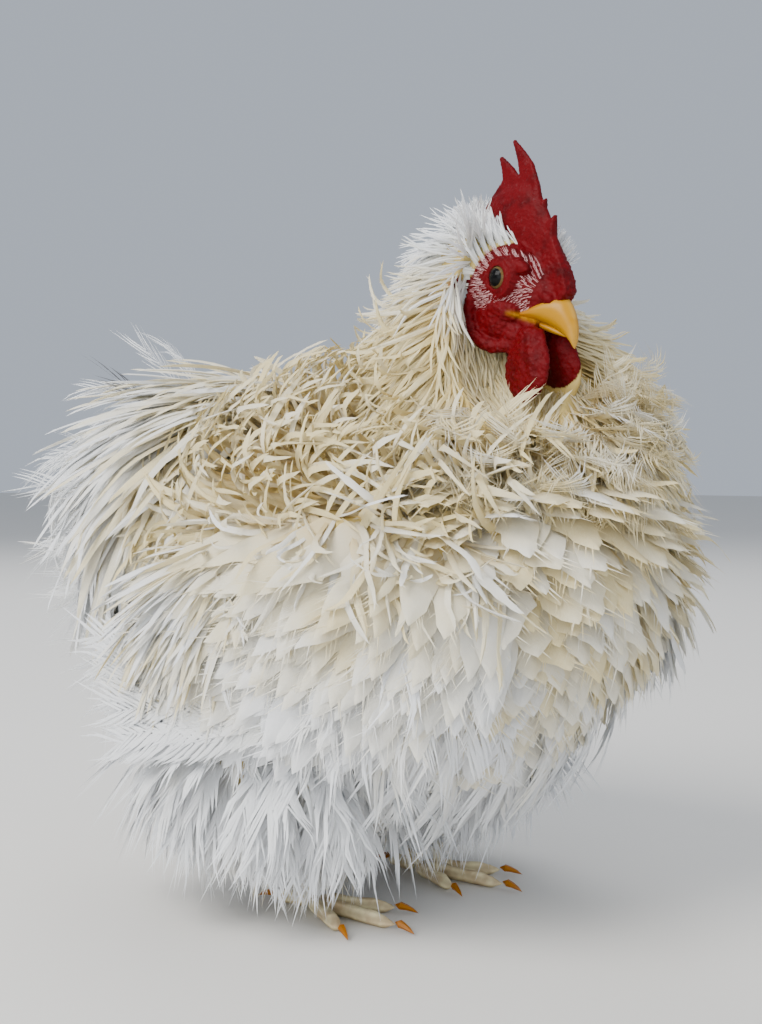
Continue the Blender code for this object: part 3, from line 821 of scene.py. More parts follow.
class Coat:
    """Gathers the feathers of one piece."""

    def __init__(self, name, slot="cream_plumage"):
        self.name, self.slot = name, slot
        self.points, self.plumes, self.grains, self.patches, self.faces = [], [], [], [], []
        self.count = 0

    def grow(self, kind, roots, lie, seed, rise, curl, size=(1.0, 0.15), sweep=(0.0, 0.2),
             twist=(0.0, 12.0), cup=(0.10, 0.08), wave=(0.0, 0.03), slim=1.0, tone=0.5, dark=0.0,
             sunk=1.5, stand=24.0, clear_face=False):
        """Feathers of one kind on the roots, bent by rise + curl along their length.

        None stands much further off the skin than stand. Those that would reach below the
        floor's gap are left out, and so are those over the face where it is to be clear.
        """
        rng = np.random.default_rng(seed)
        total = len(roots)
        numbers = (rise, curl, sweep, size, twist, cup, slim, tone, dark, wave)
        varied = [vary(rng, total, value) for value in numbers]
        variant = rng.integers(0, FEATHER_VARIANTS, total)
        side_way = np.cross(lie, roots.out)
        for number in range(FEATHER_VARIANTS):
            mine = np.flatnonzero(variant == number)
            if not len(mine):
                continue
            flat, grain, faces = kind.flat(number)
            *bends, warmth, black, ripple = (value[mine][:, None] for value in varied)
            forth, off, aside = bent(kind, flat, *bends, ripple, stand)
            way, out, beside = (v[mine][:, None, :] for v in (lie, roots.out, side_way))
            base = (roots.place[mine] - roots.out[mine] * sunk)[:, None, :]
            made = base + forth[..., None] * way + off[..., None] * out + aside[..., None] * beside
            keep = made[..., 2].min(1) > FLOOR_GAP
            if clear_face:
                keep &= ~over_face(made.reshape(-1, 3)).reshape(made.shape[:2]).any(1)
            mine, made, warmth, black = mine[keep], made[keep], warmth[keep], black[keep]
            self.points.append(made.reshape(-1, 3))
            share = flat[:, 1] / kind.length
            spot = np.stack((0.5 * flat[:, 0] / kind.half_width, share), 1) * PATCH
            self.patches.append((roots.patch[mine][:, None, :] + spot).reshape(-1, 2))
            plume = np.stack(np.broadcast_arrays(share, warmth, black), 2)
            self.plumes.append(plume.reshape(-1, 3))
            streaks = np.repeat(mine * 7.3, len(flat))[:, None]
            self.grains.append(np.tile(grain, (len(mine), 1)) + streaks)
            shifts = self.count + np.arange(len(mine)) * len(flat)
            self.faces.append((faces[None] + shifts[:, None, None]).reshape(-1, 3))
            self.count += len(mine) * len(flat)

    def piece(self, material):
        points = np.concatenate(self.points)
        facts = {"plume": np.concatenate(self.plumes), "grain": np.concatenate(self.grains)}
        obj = mesh_piece(
            self.name, points, np.concatenate(self.faces), material,
            facts, np.concatenate(self.patches),
        )
        obj.data.set_sharp_from_angle(angle=math.radians(50))
        return obj


PETAL = Vane(33.0, 7.6, 9, 5, 14, 0.80, seed=11, ragged=0.12, ridge=0.8)
COVERT = Vane(48.0, 8.6, 9, 5, 14, 0.80, seed=12, ragged=0.10, ridge=0.6)
QUILL = Kind(96.0, 9.0, 24, 1.05, 36, 0.18, seed=13, ragged=0.10, lift=0.35, shaft=0.7)
FLUFF = Kind(39.0, 6.6, 14, 2.1, 21, 0.16, seed=14, ragged=0.14, lift=0.5)
CURL = Vane(44.0, 1.6, 10, 3, 8, 0.45, seed=15, ragged=0.12)
STRAND = Vane(56.0, 2.3, 9, 3, 5, 0.60, seed=16, slant=18)
SICKLE = Kind(82.0, 6.0, 24, 0.70, 24, 0.22, seed=23, ragged=0.14, lift=0.8, shaft=0.6)
SILK = Vane(26.0, 0.48, 5, 3, 0, 0.40, seed=21, ridge=0.25)
PLUME = Kind(56.0, 7.0, 14, 0.62, 24, 0.25, seed=17, ragged=0.18, lift=0.9, shaft=0.5)
HACKLE = Vane(38.0, 1.05, 7, 3, 3, 0.45, seed=18, slant=24, ridge=0.4)
BIB = Kind(34.0, 8.0, 15, 0.50, 40, 0.40, seed=19, ragged=0.10, lift=0.6, shaft=0.3)
BRISTLE = Hair(2.7, 0.075, 0, 0, 0, 0, seed=22)


def turned(side, start, end):
    """A stretch of turns on one side, from the left one's."""
    return (start, end) if side == LEFT else (360 - end, 360 - start)


def count_of(look, number):
    return max(int(number * look.fullness), 4)


def blend_ways(*parts):
    """The sum of directions, each with its weight."""
    return sum(np.asarray(way) * weight for way, weight in parts)


def outward_y(points):
    """Towards the bird's own side, at each point, and less near its middle."""
    return np.clip(points[:, 1:2] / 24.0, -1.0, 1.0) * BESIDE


def make_breast(look, material):
    """Broad scale-like feathers that stand off the breast with their tips turned out."""
    coat = Coat("breast_coat")
    roots = plant(TRUNK, count_of(look, 620), shares=(0.60, 1.0), clear_of=(NECK,))
    lie = roots.lie(blend_ways((DOWN, 1.0), (AHEAD, 0.25)))
    rng = np.random.default_rng(102)
    warmth = np.interp(roots.place[:, 2], (70, 125), (0.05, 0.6))
    tone = warmth + rng.uniform(-0.3, 0.3, len(roots))
    coat.grow(PETAL, roots, lie, 101, rise=(24, 9), curl=(26, 22), size=(1.0, 0.16),
              tone=tone, clear_face=True)
    return coat.piece(material)


def make_belly(look, material):
    """The soft feathers under the body."""
    coat = Coat("belly_coat")
    roots = plant(TRUNK, count_of(look, 490), shares=(0.06, 0.78), turns=(84, 276),
                  clear_of=THIGHS.values())
    lie = roots.lie(blend_ways((DOWN, 1.0), (AHEAD, -0.15), (outward_y(roots.place), 0.12)))
    coat.grow(FLUFF, roots, lie, 111, rise=(30, 12), curl=(5, 25), size=(1.0, 0.2),
              tone=(0.05, 0.15))
    return coat.piece(material)


def make_back(look, material):
    """The tangle of narrow curls over the back and shoulders."""
    coat = Coat("back_coat")
    roots = plant(TRUNK, count_of(look, 1330), shares=(0.34, 0.86), turns=(-80, 80),
                  clear_of=(NECK, SADDLE))
    wander = swirl(roots.place, 3, 34.0)[:, None]
    aside = outward_y(roots.place)
    lie = roots.lie(blend_ways((AHEAD, -0.7), (aside, 0.6), (BESIDE * wander, 0.5)))
    curl = 120 + 70 * swirl(roots.place, 4, 22.0)
    coat.grow(CURL, roots, lie, 121, rise=(24, 14), curl=curl, size=(0.95, 0.22), sweep=(0.0, 1.2),
              twist=(0, 30), wave=(0.0, 0.07), tone=(0.85, 0.35), clear_face=True)
    return coat.piece(material)


def make_saddle(look, material):
    """Long narrow hackles that pour over the rump and hang down its sides."""
    coat = Coat("saddle_coat")
    roots = plant(SADDLE, count_of(look, 1200), turns=(-125, 125), clear_of=(NECK,))
    wander = swirl(roots.place, 5, 40.0)[:, None]
    aside = outward_y(roots.place)
    lie = roots.lie(blend_ways((AHEAD, -0.18), (aside, 0.5), (DOWN, 1.3), (AHEAD * wander, 0.2)))
    rng = np.random.default_rng(132)
    warmth = np.interp(roots.place[:, 0], (-104, -30), (0.0, 0.55))
    tone = warmth + rng.uniform(-0.3, 0.3, len(roots))
    coat.grow(STRAND, roots, lie, 131, rise=(24, 8), curl=(-34, 20), size=(0.90, 0.20),
              sweep=(0.0, 0.4), twist=(0, 24), wave=(0.0, 0.05), tone=tone)
    return coat.piece(material)


def make_tail(look, material):
    """The full soft tail: wispy plumes that rise, arch over and hang."""
    coat = Coat("tail_coat", "white_plumage")
    roots = plant(TAIL, count_of(look, 330), shares=(0.0, 0.8))
    upward = roots.out[:, 2]
    lie = roots.lie(blend_ways((AHEAD, -1.0), (DOWN, 0.3), (outward_y(roots.place), 0.35)))
    rise = 22 + 26 * np.maximum(upward, 0)
    curl = -70 * np.maximum(upward, 0) - 10
    on_top = (roots.place[:, 2] > 185) & (np.abs(roots.place[:, 1]) < 16)
    dark = np.where(on_top & (np.arange(len(roots)) % 3 == 0), 0.9, 0.0)
    coat.grow(PLUME, roots, lie, 141, rise=rise, curl=curl, size=(0.60, 0.16), sweep=(0.0, 0.4),
              tone=(0.08, 0.2), dark=dark)
    add_sickles(look, coat)
    return coat.piece(material)


def add_sickles(look, coat):
    """The tail's longest feathers, which arch over its end, dark where they rise in its middle."""
    rng = np.random.default_rng(142)
    total = count_of(look, 34)
    side = np.where(np.arange(total) % 2, LEFT, RIGHT)
    spread = rng.uniform(0.0, 1.0, total)
    behind = -106 - 8 * rng.uniform(size=total)
    place = np.stack((behind, side * (3 + 38 * spread), 199 - 22 * spread**2), 1)
    yaw = np.radians(180 - side * (6 + 26 * spread))
    way = np.stack((np.cos(yaw), np.sin(yaw), np.full(total, 0.2)), 1)
    out = unit(blend_ways((AHEAD, -0.3), (UP, 1.0), (BESIDE * side[:, None], 0.3)))
    patch = np.stack((0.3 + 0.4 * spread, rng.uniform(0.3, 0.7, total)), 1)
    arches = Roots(place, out, patch)
    dark = np.where(spread < 0.08, 0.85, 0.0)
    coat.grow(SICKLE, arches, arches.lie(way), 143, rise=(16, 8), curl=(-104, 14),
              size=(0.75, 0.10), sweep=(0, 0.3), tone=(0.1, 0.1), dark=dark, stand=40.0)


def make_wing(look, material, name, side):
    """One folded wing: strands that hang behind, curls on top, coverts over its bow, and quills."""
    form = WINGS[side]
    coat = Coat(f"wing_coat_{name}")
    hung = plant(form, count_of(look, 420), shares=(0.0, 0.36), turns=turned(side, -30, 62))
    lie = hung.lie(blend_ways((DOWN, 1.0), (AHEAD, -0.3)))
    coat.grow(STRAND, hung, lie, 155 + side, rise=(14, 8), curl=(-4, 24), size=(0.80, 0.2),
              sweep=(0.0, 0.4), twist=(0, 24), tone=(0.35, 0.35), stand=9.5)
    loose = plant(form, count_of(look, 200), shares=(0.25, 1.0), turns=turned(side, -30, 50))
    drift = swirl(loose.place, 10, 26.0)[:, None]
    lie = loose.lie(blend_ways((DOWN, 1.0), (AHEAD * drift, 0.9)))
    coat.grow(CURL, loose, lie, 157 + side, rise=(18, 9), curl=(40, 70), size=(0.8, 0.2),
              sweep=(0.0, 1.0), twist=(0, 45), wave=(0.0, 0.07), tone=(0.5, 0.3), stand=12.0)
    roots = plant(form, count_of(look, 280), shares=(0.29, 1.0), turns=turned(side, 15, 165))
    size = np.interp(roots.place[:, 0], (0, 90), (1.05, 0.72))
    forth = np.interp(roots.place[:, 0], (10, 80), (-1.0, -0.3))[:, None]
    lie = roots.lie(blend_ways((AHEAD * forth, 1.0), (DOWN, 0.7)))
    rng = np.random.default_rng(153 + side)
    warmth = np.interp(roots.place[:, 2], (95, 145), (0.0, 0.55))
    tone = warmth + rng.uniform(-0.12, 0.12, len(roots))
    coat.grow(COVERT, roots, lie, 151 + side, rise=(7, 4), curl=(10, 16), size=size,
              sweep=(0.0, 0.3), tone=tone, cup=(0.12, 0.08), stand=15.5)
    quills = 26
    place = np.linspace((40, 87 * side, 84), (22, 86 * side, 98), quills)
    out = np.tile(BESIDE * side, (quills, 1))
    patch = np.stack((np.linspace(0.1, 0.9, quills), np.full(quills, 0.01)), 1)
    row = Roots(place, out, patch)
    lie = row.lie(np.linspace((-1.0, 0.0, -0.30), (-1.0, 0.0, 0.04), quills))
    coat.grow(QUILL, row, lie, 161 + side, rise=(6, 3), curl=(4, 10), size=(0.74, 0.10),
              tone=(0.02, 0.1), sunk=-2.0, stand=18.0)
    return coat.piece(material)


def make_thigh(look, material, name, side):
    """The white fluff of one thigh, fan-tipped, hanging almost to the floor."""
    coat = Coat(f"thigh_coat_{name}", "white_plumage")
    roots = plant(THIGHS[side], count_of(look, 300), shares=(0.0, 0.78))
    lie = roots.lie(blend_ways((DOWN, 1.0), (outward_y(roots.place), 0.05)))
    size = np.interp(roots.place[:, 2], (34, 60, 90), (0.48, 0.80, 1.0))
    coat.grow(FLUFF, roots, lie, 171 + side, rise=(20, 9), curl=(4, 20), size=size,
              tone=(0.0, 0.12), stand=19.0)
    return coat.piece(material)


def add_ruff_silk(look, coat, turns, side):
    """Silk over the upper neck, and more of it along the edge of the room round the face."""
    silky = plant(NECK, count_of(look, 1800), shares=(0.42, 1.0), turns=turns)
    height = silky.place[:, 2]
    near = np.interp(height, (190, 225), (0.4, 1.6))[:, None]
    away = unit(silky.place - RUFF_MIDDLE)
    flow = swirl(silky.place, 7, 30.0)[:, None]
    way = silky.lie(blend_ways((DOWN, 1.0), (away * near, 1.0), (BESIDE * flow, 0.3)))
    ends = ((22, 13), (1.0, 0.05), (1.05, 0.75))
    rise, tone, size = (np.interp(height, (220, 246), pair) for pair in ends)
    coat.grow(SILK, silky, way, 195 + side, rise=rise, curl=(-14, 26), size=size,
              sweep=(0.0, 0.6), tone=tone, sunk=0.5, stand=12.0, clear_face=True)
    rim = plant(NECK, count_of(look, 3200), shares=(0.16, 1.0), turns=turns)
    rim = rim.pick((hollow_reach(rim.place) < 1.13) & (rim.place[:, 2] < 238))
    over = rim.lie(blend_ways((DOWN, 1.0), (rim.place - HOLLOW_CENTRE, -0.006)))
    tone = np.interp(rim.place[:, 2], (222, 240), (1.0, 0.05))
    coat.grow(SILK, rim, over, 197 + side, rise=(24, 10), curl=(-20, 24), size=(0.8, 0.2),
              slim=1.3, sweep=(0.0, 0.6), tone=tone, sunk=0.5, stand=10.0, clear_face=True)


def make_neck(look, material, name, side):
    """Half the ruff: silk, fine hackles that pour down, and curls, most on the bird's right."""
    coat = Coat(f"hackle_coat_{name}")
    turns = (-8, 180) if side == LEFT else (172, 360)
    add_ruff_silk(look, coat, turns, side)
    roots = plant(NECK, count_of(look, 1300), shares=(0.06, 1.0), turns=turns)
    high = roots.place[:, 2]
    rng = np.random.default_rng(181 + side)
    curls = 0.15 if side == LEFT else 0.45
    curly = rng.uniform(size=len(roots)) < np.interp(high, (215, 235), (curls, 0))
    wander = swirl(roots.place, 6, 38.0)[:, None] * (BESIDE - AHEAD)
    from_face = unit(roots.place - RUFF_MIDDLE)
    close = np.interp(high, (175, 225), (0.3, 1.6))[:, None]
    lie = roots.lie(blend_ways((DOWN, 1.0), (from_face * close, 1.0), (wander, 0.3)))
    size = np.interp(high, (150, 215, 255), (1.05, 0.85, 0.42))
    rise = np.interp(high, (170, 225, 250), (42, 30, 12))
    tone = np.interp(high, (215, 243), (0.95, 0.1)) + rng.uniform(-0.3, 0.3, len(roots))
    coat.grow(HACKLE, roots.pick(~curly), lie[~curly], 191 + side, rise=rise[~curly],
              curl=(-24, 22), size=size[~curly], sweep=(0.0, 0.7), wave=(0.0, 0.07),
              tone=tone[~curly], clear_face=True)
    coat.grow(CURL, roots.pick(curly), lie[curly], 201 + side, rise=0.8 * rise[curly],
              curl=(50, 90), size=0.85 * size[curly], sweep=(0.0, 1.0), twist=(0, 50),
              wave=(0.0, 0.08), tone=tone[curly], clear_face=True)
    return coat.piece(material)


def make_throat(look, material):
    """Fine warm feathers inside the ruff, behind the lobes and under the wattles."""
    coat = Coat("throat_coat")
    roots = plant_hollow(count_of(look, 5200))
    away = unit(roots.place - (RUFF_MIDDLE + (-2.0, 0.0, 4.0)))
    flow = swirl(roots.place, 8, 24.0)[:, None]
    lie = roots.lie(blend_ways((away, 1.0), (DOWN, 0.5), (UP * flow, 0.3)))
    warmth = np.interp(roots.place[:, 2], (222, 238), (0.9, 0.05))
    coat.grow(SILK, roots, lie, 215, rise=(14, 8), curl=(-6, 26), size=(0.85, 0.25), slim=1.3,
              sweep=(0.0, 0.6), tone=warmth, sunk=0.5, stand=7.0, clear_face=True)
    # Short ones that lie flat behind the wattles, and then over the edge of the room below them
    under = plant_hollow(count_of(look, 9000))
    aside = np.linalg.norm((under.place - WATTLE_MIDDLE)[:, :2], axis=1)
    under = under.pick((aside < 32) & (under.place[:, 2] < 218))
    coat.grow(SILK, under, under.lie(blend_ways((DOWN, 1.0), (AHEAD, 0.3))), 217, rise=(9, 5),
              curl=(-6, 20), size=(0.42, 0.12), slim=1.7, sweep=(0.0, 0.5), tone=(0.85, 0.2),
              sunk=0.4, stand=2.5)
    lip = plant(NECK, count_of(look, 3000), shares=(0.2, 0.8), turns=(-70, 70))
    lip = lip.pick(near_wattles(lip.place, 1.7))
    coat.grow(SILK, lip, lip.lie(DOWN), 219, rise=(10, 5), curl=(-6, 20), size=(0.5, 0.12),
              slim=2.0, sweep=(0.0, 0.5), tone=(0.8, 0.2), sunk=0.4, stand=3.0)
    return coat.piece(material)


def make_bib(look, material):
    """Loose feathers under the chin, whose barbs stand apart."""
    coat = Coat("bib_coat")
    roots = plant(NECK, count_of(look, 210), shares=(0.10, 0.46), turns=(-75, 30))
    lie = roots.lie(blend_ways((DOWN, 1.0), (BESIDE, -0.2)))
    coat.grow(BIB, roots, lie, 211, rise=(58, 10), curl=(10, 60), size=(1.05, 0.15), sweep=(0, 0.6),
              tone=(0.6, 0.25), clear_face=True)
    return coat.piece(material)


def join_shells(name, build):
    """A mesh object from shells that build adds to it, in mm."""
    bm = bmesh.new()
    build(bm)
    bmesh.ops.recalc_face_normals(bm, faces=bm.faces)
    mesh = bpy.data.meshes.new(name)
    bm.to_mesh(mesh)
    bm.free()
    return link(name, mesh)


def apply_modifiers(obj):
    graph = bpy.context.evaluated_depsgraph_get()
    obj.data = bpy.data.meshes.new_from_object(obj.evaluated_get(graph))
    obj.modifiers.clear()
    return obj


def melted(obj, voxel, rounds):
    """The object's shells as one skin of that fineness, smoothed."""
    remesh = obj.modifiers.new("one_skin", "REMESH")
    remesh.mode = "VOXEL"
    remesh.voxel_size = voxel
    smooth = obj.modifiers.new("soften", "SMOOTH")
    smooth.factor = 0.5
    smooth.iterations = rounds
    return apply_modifiers(obj)


SKULL = Form((
    (-27, 0, 0, 0, 2),
    (-23, 0, 8.6, -8.6, 10.6),
    (-14, 0, 12.8, -14.6, 15),
    (-4, 0, 14.0, -16.4, 16.4),
    (5, 0, 12.4, -15.4, 15.4),
    (13, 0, 8.6, -12.8, 12.0),
    (20, 0, 5.2, -9.8, 7.2),
    (25.5, 0, 3.2, -6.4, 4.0),
    (28, 0, 0, -3, 2),
))
LOBE_RIM = (  # x, how far out, z: the ear lobe's thick edge, from behind the eye to the wattle
    (-6.0, 11.6, -2.5),
    (-7.0, 12.4, -7.0),
    (-6.6, 12.9, -11.5),
    (-4.4, 13.1, -15.5),
    (-0.8, 12.9, -18.7),
    (3.8, 12.2, -20.6),
    (8.6, 10.8, -20.8),
    (12.6, 9.0, -19.0),
)
COMB_EDGE = (  # x, z, from the bill up over the points and down the back
    (29.0, 5.2),
    (24.6, 11.5),
    (19.6, 16.0),
    (14.0, 21.0),
    (11.8, 28.6),
    (8.6, 23.4),
    (6.8, 28.0),
    (5.0, 32.8),
    (3.8, 30.4),
    (0.0, 36.5),
    (-5.4, 42.5),
    (-10.8, 45.6),
    (-17.6, 48.6),
    (-18.2, 47.8),
    (-13.4, 42.0),
    (-10.0, 36.4),
    (-15.6, 39.4),
    (-22.4, 41.8),
    (-22.8, 40.8),
    (-18.2, 34.0),
    (-21.0, 28.0),
    (-23.5, 22.0),
    (-23.5, 13.0),
)
COMB_BASE = ((-20, 6), (-13, 9.5), (-4, 11), (6, 9.5), (15, 7), (22, 3.5), (27, 1))
COMB_SPINE = (  # x, how thick, lowest z and height of the comb's thick middle
    (-22, 4, 6, 22),
    (-14, 7, 8, 26),
    (-4, 8, 9, 27),
    (6, 6, 8, 22),
    (15, 4, 6, 15),
    (24, 1.5, 3, 8),
)
COMB_CORE = Form((
    (-24, 0, 0, 8, 20),
    *((x, 0, thick / 2.2, low, low + height) for x, thick, low, height in COMB_SPINE),
    (28, 0, 0, 2, 5),
))
WATTLE_ROWS = np.array((  # how far down, and the half width along and across
    (0, 0.5, 0.5),
    (2.0, 6.5, 2.8),
    (8, 9.2, 3.1),
    (14, 10.8, 3.1),
    (20, 9.8, 2.7),
    (24.5, 6.4, 2.1),
    (27.5, 0.5, 0.5),
))
WATTLE_SPLAY = 0.10


def comb_outline():
    """The comb's edge with its small teeth, then its base, as x and z."""
    tooth, depth = 1.5, 0.30
    made = []
    for a, b in zip(COMB_EDGE, COMB_EDGE[1:]):
        a, b = np.array(a), np.array(b)
        way = b - a
        out = np.array((way[1], -way[0])) / np.linalg.norm(way)
        steps = max(2 * round(np.linalg.norm(way) / tooth), 1)
        for k in range(steps):
            jut = depth if k % 2 and steps > 3 else 0.0
            made.append(a + way * k / steps + out * jut)
    return [*made, np.array(COMB_EDGE[-1]), *(np.array(p) for p in COMB_BASE)]


def add_comb(bm):
    """A single comb: a blade thick where it grows from the skull and thin at its edge."""
    outline = np.array(comb_outline())
    way = np.roll(outline, -1, axis=0) - np.roll(outline, 1, axis=0)
    out = unit(np.stack((way[:, 1], -way[:, 0]), 1))
    rings = []
    for side in (RIGHT, 0, LEFT):
        inset = outline if side == 0 else outline - 0.55 * out
        half = np.interp(outline[:, 1], (9, 16, 26, 44), (3.0, 2.2, 1.4, 0.9)) * side
        spots = zip(inset[:, 0], half, inset[:, 1])
        rings.append([bm.verts.new(HEAD @ Vector(spot)) for spot in spots])
    bm.faces.new(rings[0])
    bm.faces.new(rings[2])
    for a, b in zip(rings, rings[1:]):
        for j in range(len(outline)):
            k = (j + 1) % len(outline)
            bm.faces.new((a[j], a[k], b[k], b[j]))
    COMB_CORE.add_to(bm, 18, 16, HEAD)


def add_wattles(bm):
    """Two flat lobes that hang from the jaw, each with a thick front fold."""
    down, along, across = WATTLE_ROWS.T
    segments = 28
    for _, side in SIDES:
        top = HEAD @ Vector((WATTLE_TOP.x, WATTLE_TOP.y * side, WATTLE_TOP.z))
        loops = []
        for drop in np.linspace(0, down[-1], 26):
            reach, half = np.interp(drop, down, along), np.interp(drop, down, across)
            fold = math.exp(-((drop - 10) / 8.0) ** 2)
            ring = []
            for j in range(segments):
                angle = 2 * math.pi * j / segments
                x, y = reach * math.cos(angle), half * math.sin(angle)
                crease = math.exp(-((x - 1.2) / 1.3) ** 2) * fold * 1.5
                roll = math.exp(-((x - 4.4) / 2.0) ** 2) * fold * 1.3
                y += math.copysign(roll - crease, math.sin(angle))
                out = HEADING @ Vector((x + drop * 0.04, y + drop * WATTLE_SPLAY * side, 0))
                ring.append(bm.verts.new(top + out - Vector((0, 0, drop))))
            loops.append(ring)
        for a, b in zip(loops, loops[1:]):
            for j in range(segments):
                k = (j + 1) % segments
                bm.faces.new((a[j], a[k], b[k], b[j]))
        bm.faces.new(loops[0])
        bm.faces.new(loops[-1])


def add_ball(bm, centre, reach, place=HEAD):
    """A rounded lump, its reach given along each axis."""
    made = bmesh.ops.create_uvsphere(bm, u_segments=20, v_segments=12, radius=1.0)
    for vertex in made["verts"]:
        vertex.co = place @ Vector(centre[k] + vertex.co[k] * reach[k] for k in range(3))


def add_head(bm):
    SKULL.add_to(bm, 26, 32, HEAD)
    add_comb(bm)
    add_wattles(bm)
    for _, side in SIDES:
        add_ball(bm, (2.5, 10.2 * side, -11.5), (9.0, 2.2, 8.5))  # the hollow of the ear lobe
        rim = np.array(LOBE_RIM)
        for place in np.linspace(0, len(rim) - 1, 22):
            x, y, z = (np.interp(place, range(len(rim)), column) for column in rim.T)
            add_ball(bm, (x, y * side, z), (2.3, 1.9, 2.3))
        add_ball(bm, (6, 8.4 * side, 8.4), (8.5, 3.4, 3.0))  # brow
        add_ball(bm, (5, 8.2 * side, -7.5), (9.5, 4.6, 5.4))  # cheek
        add_ball(bm, (14, 4.6 * side, -9.6), (7.5, 3.6, 2.6))  # corner of the mouth
        add_ball(bm, (21.0, 4.2 * side, 0.8), (3.4, 1.7, 2.2))  # nostril's flap
        add_ball(bm, (11.5, 7.2 * side, -15.0), (6.0, 3.2, 5.0))  # between the lobe and the wattle
    add_ball(bm, (9, 0, -11), (9, 7, 6))
    add_ball(bm, (-13, 0, -18), (12, 9, 22))


def add_body(bm):
    for form in (TRUNK, NECK, SADDLE, TAIL, *WINGS.values(), *THIGHS.values()):
        form.add_to(bm)


def add_hollow(bm):
    made = bmesh.ops.create_uvsphere(bm, u_segments=48, v_segments=32, radius=1.0)
    for vertex in made["verts"]:
        vertex.co = HOLLOW_TURN @ (np.array(vertex.co) * HOLLOW_REACH) + HOLLOW_CENTRE


def foot_copy(name, voxel=0.8):
    """The skin of one foot, from the CAD solid of it."""
    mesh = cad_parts[f"foot_{name}"].data.copy()
    obj = link(f"foot_skin_{name}", mesh)
    mesh.transform(Matrix.Translation(-SHIFT) @ Matrix.Scale(1 / MM, 4))
    bm = bmesh.new()
    bm.from_mesh(mesh)
    bmesh.ops.remove_doubles(bm, verts=bm.verts, dist=0.01)
    bm.to_mesh(mesh)
    bm.free()
    return melted(obj, voxel, 4)


def combine(main_part, other, operation):
    """The main skin with the other added to it or cut from it."""
    boolean = main_part.modifiers.new("combine", "BOOLEAN")
    boolean.operation = operation
    boolean.object = other
    apply_modifiers(main_part)
    bpy.data.objects.remove(other, do_unlink=True)


def bumpiness(points, size, seed):
    """Rough small-scale relief at each point, from -1 to 1."""
    offset = Vector((seed * 17.3, seed * 5.1, 0.0))
    return np.array([noise.noise(Vector(p) / size + offset) for p in points])


def to_head(points):
    turn = np.array(HEAD.inverted())
    return points @ turn[:3, :3].T + turn[:3, 3]


def from_head(points):
    return points @ HEAD_TURN.T + np.array(HEAD)[:3, 3]


def to_body(roots):
    """The roots on the skull, from the head's own axes to the bird's."""
    return Roots(from_head(roots.place), roots.out @ HEAD_TURN.T, roots.patch)


def part_of_head(points, local):
    """Which of the skin's points are the head's, from where they are in both frames."""
    return (np.abs(local[:, 0]) < 42) & (np.abs(local[:, 1]) < 22) & (points[:, 2] > 180)


LID_WIDTH = 3.2
LID_SWELL = 0.55
SOCKET_DEPTH = 3.4


def sculpt_head(points, normals):
    """Lids and sockets for the eyes, and folds and grains on the bare red skin."""
    local = to_head(points)
    near = part_of_head(points, local)
    place, out = local[near], normals[near] @ HEAD_TURN
    x, y, z = place.T
    side = np.sign(y)
    ring = np.hypot(x - EYE_PLACE.x, (z - EYE_PLACE.z) / 1.05)
    outer = np.abs(y) > 5.5
    wrinkle = bumpiness(place * (1.0, 1.0, 1.9), 1.9, 1) * 0.42 + bumpiness(place, 0.9, 2) * 0.16
    on_comb = np.clip((z - 14.0) / 4.0, 0, 1) * (np.abs(y) < 6)
    wrinkle = wrinkle * (1 - 0.72 * on_comb)
    bare = bare_face(place)
    quiet = np.clip((ring - LID_RADIUS - 0.6) / 1.5, 0, 1)
    place = place + out * (wrinkle * bare * quiet)[:, None]
    lid = outer & (ring < LID_RADIUS + LID_WIDTH) & (ring > LID_RADIUS)
    swell = np.exp(-(((ring - LID_RADIUS - 0.7) / 0.8) ** 2))
    ball = EYE_PLACE.y + math.sqrt(EYE_RADIUS**2 - LID_RADIUS**2)
    height = np.maximum(np.abs(place[:, 1]), ball - 0.2) + LID_SWELL * swell
    place[lid, 1] = (side * height)[lid]
    inside = outer & (ring <= LID_RADIUS)
    place[inside, 1] = (side * (ball - SOCKET_DEPTH))[inside]
    edge = outer & (np.abs(ring - LID_RADIUS) < 0.45)
    stretch = LID_RADIUS / np.maximum(ring, 0.1)
    place[edge, 0] = EYE_PLACE.x + ((x - EYE_PLACE.x) * stretch)[edge]
    place[edge, 2] = EYE_PLACE.z + ((z - EYE_PLACE.z) * stretch)[edge]
    place[edge, 1] = (side * (ball + 0.25))[edge]
    points = points.copy()
    points[near] = from_head(place)
    return points


FEATHER_LINE = (  # z and the x behind which the side of the head is feathered
    (-30.0, -8.0),
    (-22.0, -12.0),
    (-4.0, -12.0),
    (0.0, -9.0),
    (8.0, -7.5),
    (12.0, -5.0),
    (15.0, -1.0),
    (17.0, 6.0),
)
THROAT = -19.0


def bare_face(local):
    """1 on the bare red skin of the head, 0 under feathers, from the head's own axes."""
    x, y, z = local.T
    edge = np.interp(z, *zip(*FEATHER_LINE))
    face = np.clip((x - edge) / 1.5, 0, 1) * np.clip((z - THROAT) / 2.0, 0, 1)
    comb = (z > 10.0) & (np.abs(y) < 4.4)
    points = from_head(local)
    hung = near_wattles(points, 1.15) & (x > 5.0) & (hollow_reach(points) < 0.965)
    lobe = (np.abs(y) > 8.6) & (z > -24.0) & (z < 0.0) & (x > -10.5)
    return np.maximum(face, comb | hung | lobe)


def mesh_points(mesh):
    points = np.empty(len(mesh.vertices) * 3, np.float32)
    mesh.vertices.foreach_get("co", points)
    return points.reshape(-1, 3).astype(float)


def mesh_normals(mesh):
    normals = np.empty(len(mesh.vertices) * 3, np.float32)
    mesh.vertex_normals.foreach_get("vector", normals)
    return normals.reshape(-1, 3).astype(float)


